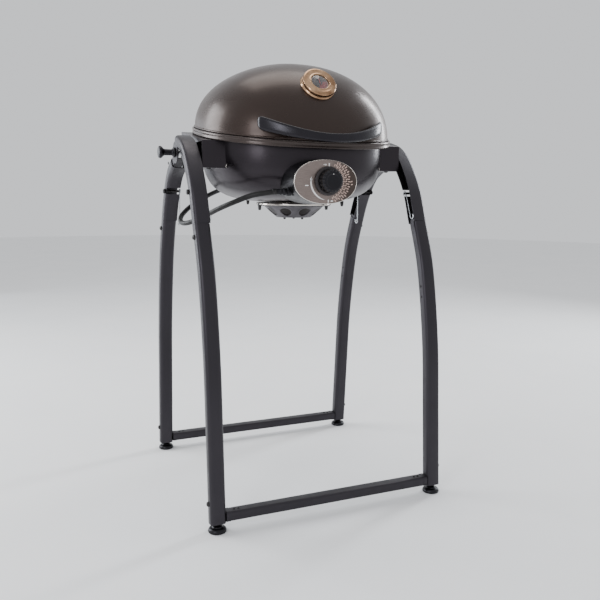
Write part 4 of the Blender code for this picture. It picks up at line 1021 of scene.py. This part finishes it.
# ---------------------------------------------------------------- grease cup and its plate
def make_cup():
    """Cup whose conical wall has pressed rounds, with its studs, plate and hangers."""
    steps, rows, phase = 384, 26, math.radians(-131)
    pitch = 2 * math.pi / CUP_ROUNDS
    outer = [(0.0762, CUP_RIM_Z - 0.0002), (0.0765, CUP_RIM_Z - 0.0016), (0.0755, CUP_RIM_Z - 0.0034),
             (0.0738, CUP_RIM_Z - 0.0040)]
    wall_top, wall_low = Vector((0.0725, CUP_RIM_Z - 0.0046)), Vector((0.0445, CUP_FLOOR_Z + 0.0022))
    wall = [wall_top.lerp(wall_low, k / rows) for k in range(rows + 1)]
    foot = [(0.0432, CUP_FLOOR_Z + 0.0010), (0.0418, CUP_FLOOR_Z + 0.0002), (0.0400, CUP_FLOOR_Z),
            (0.0300, CUP_FLOOR_Z), (0.0292, CUP_FLOOR_Z + 0.0008), (0, CUP_FLOOR_Z + 0.0008)]
    inside = [(0, CUP_FLOOR_Z + 0.0030), (0.0400, CUP_FLOOR_Z + 0.0030), (0.0425, CUP_FLOOR_Z + 0.0042),
              (0.0700, CUP_RIM_Z - 0.0034), (0.0735, CUP_RIM_Z - 0.0002), (0.0748, CUP_RIM_Z)]
    profile = inside + outer + [tuple(p) for p in wall] + foot
    centre = Vector((0, CUP_Y, 0))
    bm = bmesh.new()
    # The recess layer marks the pressed rounds, where the cup's material paints shade.
    layer = bm.verts.layers.float.new("recess")
    mask = {}
    middle = wall_top.lerp(wall_low, 0.5)
    slant = (wall_low - wall_top).length
    first = len(inside) + len(outer)
    rings = []
    for index, (radius, height) in enumerate(profile):
        if radius < 1e-6:
            rings.append([centre + Vector((0, 0, height))])
            continue
        ring = []
        for k in range(steps):
            angle = 2 * math.pi * k / steps
            reach = radius
            if first <= index < first + len(wall):
                along = (index - first) / rows * slant - slant * 0.5
                nearest = ((angle - phase + pitch / 2) % pitch) - pitch / 2
                distance = math.hypot(nearest * middle.x, along)
                sunk = smooth_step((CUP_ROUND_RADIUS - distance) / 0.0014)
                lip = max(0.0, 1 - abs(distance - CUP_LIP_RADIUS) / 0.0016)
                mask[(len(rings), k)] = sunk
                reach = radius - CUP_ROUND_DEPTH * sunk + CUP_LIP_HEIGHT * lip
            ring.append(centre + Vector((reach * math.cos(angle), reach * math.sin(angle), height)))
        rings.append(ring)
    levels = add_loft(bm, rings)
    for (level, k), value in mask.items():
        levels[level][k][layer] = value
    mesh_piece("cup_shell", bm, "cup", "drip_cup", "grease_cup", sharp=50)

    bm = bmesh.new()
    toward, right = view_directions()
    for turn in (-65, 62, 180):
        angle = math.radians(turn)
        place = centre + 0.024 * (toward * math.cos(angle) + right * math.sin(angle))
        profile = rounded([(0, CUP_FLOOR_Z + 0.001), (0.0034, CUP_FLOOR_Z + 0.001),
                           (0.0028, CUP_FLOOR_Z - 0.0045), (0, CUP_FLOOR_Z - 0.0052)], 0.0008, 4)
        add_loft(bm, turned_rings(profile, place, (0, 0, 1), 24))
    mesh_piece("cup_studs", bm, "dark_bolt", "drip_cup")

    top = BOWL_BOTTOM_Z - 0.0010
    plate = [(0.0460, top), (CUP_PLATE_RADIUS - 0.0030, top), (CUP_PLATE_RADIUS - 0.0008, top - 0.0008),
             (CUP_PLATE_RADIUS, top - 0.0024), (CUP_PLATE_RADIUS, top - 0.0060),
             (CUP_PLATE_RADIUS - 0.0015, top - 0.0060), (CUP_PLATE_RADIUS - 0.0020, top - 0.0026),
             (0.0780, top - 0.0021), (0.0460, top - 0.0020)]
    turned("cup_plate_disc", rounded(plate, 0.0006, 3), centre, (0, 0, 1), "silver", "grill_head",
           "cup_plate", steps=128, sharp=50)
    skirt = CUP_PLATE_RADIUS - 0.0024
    turned("cup_plate_shadow_ring", rounded([(skirt, top - 0.0030), (skirt, top - 0.0078),
                                             (skirt - 0.0040, top - 0.0078), (skirt - 0.0040, top - 0.0030)],
                                            0.0004, 3) + [(skirt, top - 0.0030)],
           centre, (0, 0, 1), "black", "grill_head", steps=128, sharp=50)
    bm = bmesh.new()
    for side in (-1, 1):
        x = side * (CUP_PLATE_RADIUS - 0.0030)
        rings = []
        for height, wide, deep in ((top - 0.0020, 0.0078, 0.0090), (top - 0.0070, 0.0074, 0.0086),
                                   (top - 0.0150, 0.0062, 0.0070), (top - 0.0185, 0.0050, 0.0058)):
            rings.append([Vector((x + a, CUP_Y + b, height))
                          for a, b in rounded_rectangle(wide, deep, 0.0012, 4)])
        add_prism(bm, rings)
    mesh_piece("cup_hanger_posts", bm, "dark_bolt", "grill_head")


def smooth_step(t):
    t = min(1.0, max(0.0, t))
    return t * t * (3 - 2 * t)


def view_directions():
    """Level directions towards the camera and to its right."""
    return (Vector((-math.sin(VIEW_YAW), -math.cos(VIEW_YAW), 0)),
            Vector((math.cos(VIEW_YAW), -math.sin(VIEW_YAW), 0)))


# ---------------------------------------------------------------- stand
def leg_path(side_y):
    """Centre line of a leg from the floor up, with the run to each of its points."""
    curve = catmull([(0, y, z) for y, z in LEG_LOWER + LEG_UPPER[side_y]], 24)
    runs = [0.0]
    for a, b in zip(curve, curve[1:]):
        runs.append(runs[-1] + (b - a).length)
    return curve, runs


LEG_PATHS = {side: leg_path(side) for side in (-1, 1)}


def leg_place(side_y, run):
    curve, runs = LEG_PATHS[side_y]
    index = max(i for i in range(len(runs) - 1) if runs[i] <= max(run, 0.0))
    share = (run - runs[index]) / (runs[index + 1] - runs[index])
    return curve[index].lerp(curve[index + 1], share)


def leg_run_at(side_y, height):
    curve, runs = LEG_PATHS[side_y]
    index = next(i for i, p in enumerate(curve) if p.z >= height)
    share = (height - curve[index - 1].z) / (curve[index].z - curve[index - 1].z)
    return runs[index - 1] + share * (runs[index] - runs[index - 1])


def leg_station(side_x, side_y, run):
    """Centre of the leg, the direction out along X and the direction away from the stand."""
    place = leg_place(side_y, run)
    ahead = leg_place(side_y, run + 0.004) - leg_place(side_y, run - 0.004)
    normal = Vector((0, ahead.z, -ahead.y)).normalized()
    return (Vector((side_x * LEG_X, side_y * place.y, place.z)), Vector((side_x, 0, 0)),
            Vector((0, side_y * normal.y, normal.z)))


def leg_stations(side_x, side_y, start, end, count):
    return [leg_station(side_x, side_y, start + (end - start) * k / (count - 1)) for k in range(count)]


def channel_section():
    """Outline of the upper leg: a web outside and two flanges, open to the inside."""
    half_u, half_v, wall = LEG_WIDE / 2, LEG_DEEP / 2, CHANNEL_WALL
    outline = [(-half_u, -half_v)]
    for sign, first in ((-1, -90), (1, 0)):
        for k in range(6):
            angle = math.radians(first + 90 * k / 5)
            outline.append((half_u - LEG_CORNER + LEG_CORNER * math.cos(angle),
                            sign * (half_v - LEG_CORNER) + LEG_CORNER * math.sin(angle)))
    outline += [(-half_u, half_v), (-half_u, half_v - wall)]
    inner = LEG_CORNER - wall
    for sign, first in ((1, 90), (-1, 0)):
        for k in range(5):
            angle = math.radians(first - 90 * k / 4)
            outline.append((half_u - LEG_CORNER + inner * math.cos(angle),
                            sign * (half_v - LEG_CORNER) + inner * math.sin(angle)))
    outline.append((-half_u, wall - half_v))
    return outline


def solid_of(stations, outline, name):
    bm = bmesh.new()
    add_sweep(bm, stations, outline)
    return cutter(name, bm)


def tongue(x_in, x_out, eye, far, half, near=0.0):
    """Flat tongue from the hub towards the rear leg."""
    hub = Vector((0, 0, HUB_Z))
    along = (Vector((0, *LEG_UPPER[1][1])) - hub).normalized()
    across = Vector((0, -along.z, along.y))
    if eye:
        first = math.asin(half / eye)
        angles = [first + (2 * math.pi - 2 * first) * k / 48 for k in range(49)]
        outline = [(eye * math.cos(a), eye * math.sin(a)) for a in angles]
    else:
        outline = [(near, half), (near, -half)]
    outline += [(far, -half), (far, half)]
    return solid_of([(hub + Vector((x, 0, 0)), along, across) for x in (x_in, x_out)], outline, "tongue")


def make_upper_leg(side_x, hand, side_y, word):
    name = "leg_channel_%s_%s" % (word, hand)
    end = LEG_PATHS[side_y][1][-1]
    bm = bmesh.new()
    add_sweep(bm, leg_stations(side_x, side_y, leg_run_at(side_y, SEAM_Z) + 0.0003, end, 44),
              channel_section())
    leg = mesh_piece(name.replace("leg_", "upper_"), bm, "coat", word + "_frame", name)
    web_out = side_x * (LEG_X + LEG_WIDE / 2)
    web_in = side_x * (LEG_X + LEG_WIDE / 2 - CHANNEL_WALL)
    skim = side_x * 0.0002
    pin_y = side_y * PIN_Y[side_y]
    notch_y = sorted((pin_y - side_y * 0.0255, pin_y - side_y * 0.0005))
    notch = box_cutter((min(side_x * 0.250, web_in + skim), notch_y[0], NOTCH_Z[0]),
                       (max(side_x * 0.250, web_in + skim), notch_y[1], NOTCH_Z[1]))
    pin_hole = rod_cutter((side_x * 0.275, pin_y, PIN_Z), (side_x * 0.295, pin_y, PIN_Z), 0.0033)
    hub = [Vector((side_x * x, 0, HUB_Z)) for x in (0.245, 0.270, 0.300)]
    carve(leg, "DIFFERENCE", notch, pin_hole)
    if side_y < 0:
        carve(leg, "DIFFERENCE", rod_cutter(hub[0], Vector((web_in + skim, 0, HUB_Z)), 0.024, 64))
        carve(leg, "UNION", rod_cutter(Vector((web_in + 2 * skim, 0, HUB_Z)),
                                       Vector((web_out - skim, 0, HUB_Z)), HUB_RADIUS, 72))
    else:
        carve(leg, "DIFFERENCE", rod_cutter(hub[0], hub[2], HUB_RADIUS + 0.0012, 72))
        outer = web_in - side_x * 0.0005
        inner = outer - side_x * 0.0025
        plate = tongue(inner, outer, 0.019, 0.082, 0.0095)
        carve(plate, "UNION", tongue(inner + 2 * skim, web_in + 5 * skim, 0.0, 0.080, 0.0088, 0.060))
        carve(leg, "UNION", plate)
    carve(leg, "DIFFERENCE", rod_cutter(hub[1], hub[2], 0.0063))
    soften(leg, 0.0004, 2, 50)


def make_leg_details(side_x, hand, side_y, word):
    """Seam sleeve, bolt heads, rivets, cross pin, hook and foot of one leg."""
    tag = word + "_" + hand
    body = word + "_frame"
    outer_x = side_x * (LEG_X + LEG_WIDE / 2)
    bolts = bmesh.new()
    for height in (0.625, 0.063):
        place = leg_station(side_x, side_y, leg_run_at(side_y, height))[0]
        bolt_head(bolts, (outer_x, place.y, place.z), (side_x, 0, 0), 0.0056, 0.0046, 0.0022)
    for height in (0.500, 0.475):
        place = leg_station(side_x, side_y, leg_run_at(side_y, height))[0]
        bolt_head(bolts, (side_x * (LEG_X - LEG_WIDE / 2), place.y, place.z), (-side_x, 0, 0), 0.0030, 0.0016)
    mesh_piece("leg_bolts_" + tag, bolts, "dark_bolt", body)

    seam = leg_run_at(side_y, SEAM_Z)
    bm = bmesh.new()
    wide, deep = LEG_WIDE - 2 * CHANNEL_WALL, LEG_DEEP - 2 * CHANNEL_WALL
    outline = rounded_rectangle(wide - 0.0006, deep - 0.0006, 0.0036)
    hollow = rounded_rectangle(wide - 0.0036, deep - 0.0036, 0.0022)
    add_sweep(bm, leg_stations(side_x, side_y, seam - 0.020, seam + 0.007, 4), outline, hollow)
    mesh_piece("leg_spigot_" + tag, bm, "coat", body)

    pin_y = side_y * PIN_Y[side_y]
    pin = [(0, 0.0052), (0.0042, 0.0050), (0.0058, 0.0036), (0.0060, 0.0008), (0.0056, 0.0),
           (PIN_RADIUS, 0.0), (PIN_RADIUS, -0.0384), (PIN_RADIUS - 0.0006, -0.0392), (0, -0.0392)]
    turned("hook_pin_" + tag, rounded(pin, 0.0004, 3), (side_x * CLAMP_FACE_X, pin_y, PIN_Z),
           (side_x, 0, 0), "dark_bolt", body, "cross_pin_" + tag, steps=32)
    hook = hook_route(side_x, side_y)
    wire("hook_wire_" + tag, hook, WIRE_RADIUS, "zinc", "hook_" + tag, "wire_hook_" + tag)

    foot = [(0, 0.0480), (0.0040, 0.0480), (0.0040, 0.0150), (0.0062, 0.0140), (0.0100, 0.0128),
            (0.0118, 0.0104), (0.0165, 0.0092), (0.0190, 0.0068), (FOOT_RADIUS, 0.0040),
            (FOOT_RADIUS, 0.0012), (FOOT_RADIUS - 0.0012, 0.0), (0, 0.0)]
    turned("foot_pad_" + tag, rounded(foot, 0.0010, 4), (side_x * LEG_X, side_y * FOOT_Y, 0), (0, 0, 1),
           "knob", "foot_%s_turner" % tag, "foot_" + tag, steps=56)
    # Near-black discs on the web: painted shadow for its holes.
    holes = bmesh.new()
    profile = [(0, 0.0003), (0.0032, 0.0003), (0.0034, -0.0010), (0, -0.0010)]
    add_loft(holes, turned_rings(profile, (outer_x, side_y * HUB_HOLE[side_y].x, HUB_HOLE[side_y].y),
                                 (side_x, 0, 0), 28))
    mesh_piece("web_hole_" + tag, holes, "hole", body)


def hook_route(side_x, side_y):
    """The hook's own wire, finer than the frame's: eye, shank and rounded J."""
    eye_radius = PIN_RADIUS + 0.0009 + WIRE_RADIUS
    lean = math.radians(24) if side_y < 0 else 0.0
    shank, bend = (0.0640, 0.0060) if side_y < 0 else (0.0780, 0.0065)
    flat = []
    for k in range(33):
        angle = math.radians(35 + 9 * k)
        flat.append((eye_radius * math.cos(angle), eye_radius * math.sin(angle)))
    flat.append((eye_radius * 0.97, -0.006))
    flat.append((eye_radius, -0.030))
    flat.append((eye_radius, -shank))
    for k in range(1, 22):
        angle = math.radians(180 + 10 * k)
        flat.append((eye_radius + bend * (1 + math.cos(angle)), -shank + bend * math.sin(angle)))
    points = []
    for across, up in flat:
        y = across * math.cos(lean) - up * math.sin(lean)
        z = across * math.sin(lean) + up * math.cos(lean)
        points.append((side_x * HOOK_X, side_y * (PIN_Y[side_y] + y), PIN_Z + z))
    return points


def bar_stations(bar_y, places):
    """Stations along X of a floor bar's section."""
    return [(Vector((x, bar_y, BAR_Z)), Vector((0, 1, 0)), Vector((0, 0, 1))) for x in places]


def make_frame(side_y, word):
    """One folding frame: legs, floor bar with its end pieces and screws."""
    body = word + "_frame"
    outer = rounded_rectangle(LEG_WIDE, LEG_DEEP, LEG_CORNER)
    inner = rounded_rectangle(LEG_WIDE - 2 * TUBE_WALL, LEG_DEEP - 2 * TUBE_WALL, LEG_CORNER - TUBE_WALL)
    for side_x, hand in SIDES:
        make_upper_leg(side_x, hand, side_y, word)
        tag = word + "_" + hand
        bm = bmesh.new()
        add_sweep(bm, leg_stations(side_x, side_y, 0.0, leg_run_at(side_y, SEAM_Z), 56), outer, inner)
        tube = mesh_piece("lower_tube_" + tag, bm, "coat", body, "leg_tube_" + tag)
        soften(tube, 0.0004, 2, 50)
        make_leg_details(side_x, hand, side_y, word)
    half = LEG_X - LEG_WIDE / 2 - 0.0003
    bar_y = side_y * BAR_Y
    bm = bmesh.new()
    add_sweep(bm, bar_stations(bar_y, (-half, -half * 0.5, 0, half * 0.5, half)),
              rounded_rectangle(BAR_DEEP, BAR_TALL, BAR_CORNER),
              rounded_rectangle(BAR_DEEP - 2 * TUBE_WALL, BAR_TALL - 2 * TUBE_WALL, BAR_CORNER - TUBE_WALL))
    bar = mesh_piece("bar_tube_" + word, bm, "coat", body, "floor_bar_" + word)
    soften(bar, 0.0004, 2, 50)
    bm = bmesh.new()
    for side_x, _ in SIDES:
        stations = bar_stations(bar_y, (side_x * (half - 0.0100), side_x * (half - 0.0005)))
        add_sweep(bm, stations, rounded_rectangle(BAR_DEEP + 0.0012, BAR_TALL + 0.0012, 0.0050))
    collars = mesh_piece("bar_collars_" + word, bm, "coat", body)
    soften(collars, 0.0004, 2, 50)
    bm = bmesh.new()
    for side_x, _ in SIDES:
        for x in (0.222, 0.232):
            bolt_head(bm, (side_x * x, bar_y, BAR_Z + BAR_TALL / 2), (0, 0, 1), 0.0028, 0.0018, 0.0012, 20)
    mesh_piece("bar_screws_" + word, bm, "dark_bolt", body)


def make_clamps():
    for side, word in SIDES:
        knob = [(0, 0.0384), (0.0090, 0.0384), (0.0122, 0.0374), (0.0140, 0.0352), (0.0140, 0.0325),
                (0.0122, 0.0294), (0.0090, 0.0272), (0.0074, 0.0240), (0.0070, 0.0085), (0.0080, 0.0060),
                (0.0115, 0.0032), (0.0115, 0.0), (0.0064, 0.0), (0.0064, 0.0128), (0, 0.0128)]
        turned("clamp_grip_" + word, rounded(knob, 0.0009, 4), (side * CLAMP_FACE_X, 0, HUB_Z), (side, 0, 0),
               "black", word + "_clamp", "clamp_knob_" + word, steps=56)
        carried("hub_pin_" + word, "zinc", 0.0004)
        carried("side_cradle_" + word, "bowl", 0.0008)
        # Silver lines along each cradle's front edge, split at the foot: painted edge highlights.
        front = -CRADLE_HALF_Y - CRADLE_HIGHLIGHT_RADIUS
        for share in (-1, 1):
            foot = CRADLE_HIGHLIGHT_X + 0.0035 * share
            route = [(CRADLE_HIGHLIGHT_X, 0.8250), (CRADLE_HIGHLIGHT_X, 0.7860), (foot, 0.7736)]
            wire("cradle_edge_highlight_%s_%d" % (word, share + 1), [(side * x, front, z) for x, z in route],
                 CRADLE_HIGHLIGHT_RADIUS, "silver", "grill_head")


# ---------------------------------------------------------------- the rest of the CAD nodes
def carry_the_rest():
    for node, finish, width in (("rear_hinge_bracket", "bowl", 0.0005), ("lid_hinge_leaf", "lid", 0.0005),
                                ("hinge_pin", "zinc", 0.0003), ("burner_ring", "steel", 0),
                                ("burner_venturi", "steel", 0.0005), ("flame_tamer", "steel", 0.0004),
                                ("ignition_electrode", "ceramic", 0), ("cooking_grate_left", "iron", 0.0016),
                                ("cooking_grate_right", "iron", 0.0016)):
        carried(node, finish, width)


# ---------------------------------------------------------------- studio
VIEW_YAW = math.radians(22.917)
VIEW_PITCH = math.radians(9.2528)
VIEW_ROLL = math.radians(0.5376)
VIEW_PLACE = Vector((-0.6494, -1.6021, 0.7307))
FOCAL_PIXELS = 689.37
FRAME_PIXELS = 600


def make_camera():
    data = bpy.data.cameras.new("camera")
    data.sensor_width = 36.0
    data.lens = FOCAL_PIXELS / FRAME_PIXELS * data.sensor_width
    data.clip_start = 0.05
    camera = linked("camera", data)
    forward = Vector((math.sin(VIEW_YAW) * math.cos(VIEW_PITCH), math.cos(VIEW_YAW) * math.cos(VIEW_PITCH),
                      -math.sin(VIEW_PITCH)))
    right = Vector((math.cos(VIEW_YAW), -math.sin(VIEW_YAW), 0))
    up = right.cross(forward)
    c, s = math.cos(VIEW_ROLL), math.sin(VIEW_ROLL)
    right, up = c * right + s * up, c * up - s * right
    turn = Matrix((right, up, -forward)).transposed()
    camera.matrix_world = Matrix.Translation(VIEW_PLACE) @ turn.to_4x4()
    bpy.context.scene.camera = camera


def area_light(name, place, target, wide, tall, power, colour=(1, 1, 1)):
    data = bpy.data.lights.new(name, "AREA")
    data.shape = "RECTANGLE"
    data.size, data.size_y = wide, tall
    data.energy = power
    data.color = colour
    light = linked(name, data)
    light.location = place
    light.visible_camera = False
    light.rotation_mode = "QUATERNION"
    light.rotation_quaternion = (Vector(target) - Vector(place)).to_track_quat("-Z", "Y")


def make_studio():
    world = bpy.data.worlds.new("studio_world")
    world.use_nodes = True
    background = world.node_tree.nodes["Background"]
    background.inputs["Color"].default_value = (0.95, 0.97, 1.0, 1)
    background.inputs["Strength"].default_value = 0.90
    bpy.context.scene.world = world

    bm = bmesh.new()
    bmesh.ops.create_circle(bm, cap_ends=True, segments=96, radius=9.0)
    floor = linked("studio_floor", mesh_from("studio_floor", bm))
    floor.location.z = -0.0005
    shader = Shader("studio_floor_paint", Specular_IOR_Level=0.2)
    shader.colour(shader.blend_colours(shader.spread(shader.noise(3, 4), 0.0, 1.0),
                                       (0.86, 0.865, 0.87), (0.89, 0.89, 0.89)))
    shader.roughness(shader.spread(shader.noise(8, 4), 0.6, 0.75))
    floor.data.materials.append(shader.material)

    head = (0, 0, 0.85)
    area_light("rear_left_softbox", (-2.1, 1.5, 1.35), head, 1.4, 2.0, 66, (0.94, 0.97, 1.0))
    area_light("back_left_panel", (-1.5, 3.1, 0.75), (0, 0, 0.55), 1.6, 1.5, 6, (0.82, 0.90, 1.0))
    area_light("right_strip", (2.6, 0.85, 1.85), head, 0.45, 1.9, 54, (0.92, 0.96, 1.0))
    area_light("front_left_softbox", (-2.1, -1.8, 1.45), head, 0.8, 1.3, 26, (0.95, 0.96, 1.0))
    area_light("top_softbox", (0.1, 0.5, 2.9), head, 1.8, 1.2, 18, (1.0, 0.95, 0.90))


make_lid()
make_bowl()
make_seat_details()
make_handle()
make_thermometer()
make_panel()
make_knob()
make_gas_train()
make_cup()
for frame_side, frame_word in FRAMES:
    make_frame(frame_side, frame_word)
make_clamps()
carry_the_rest()
make_studio()
make_camera()
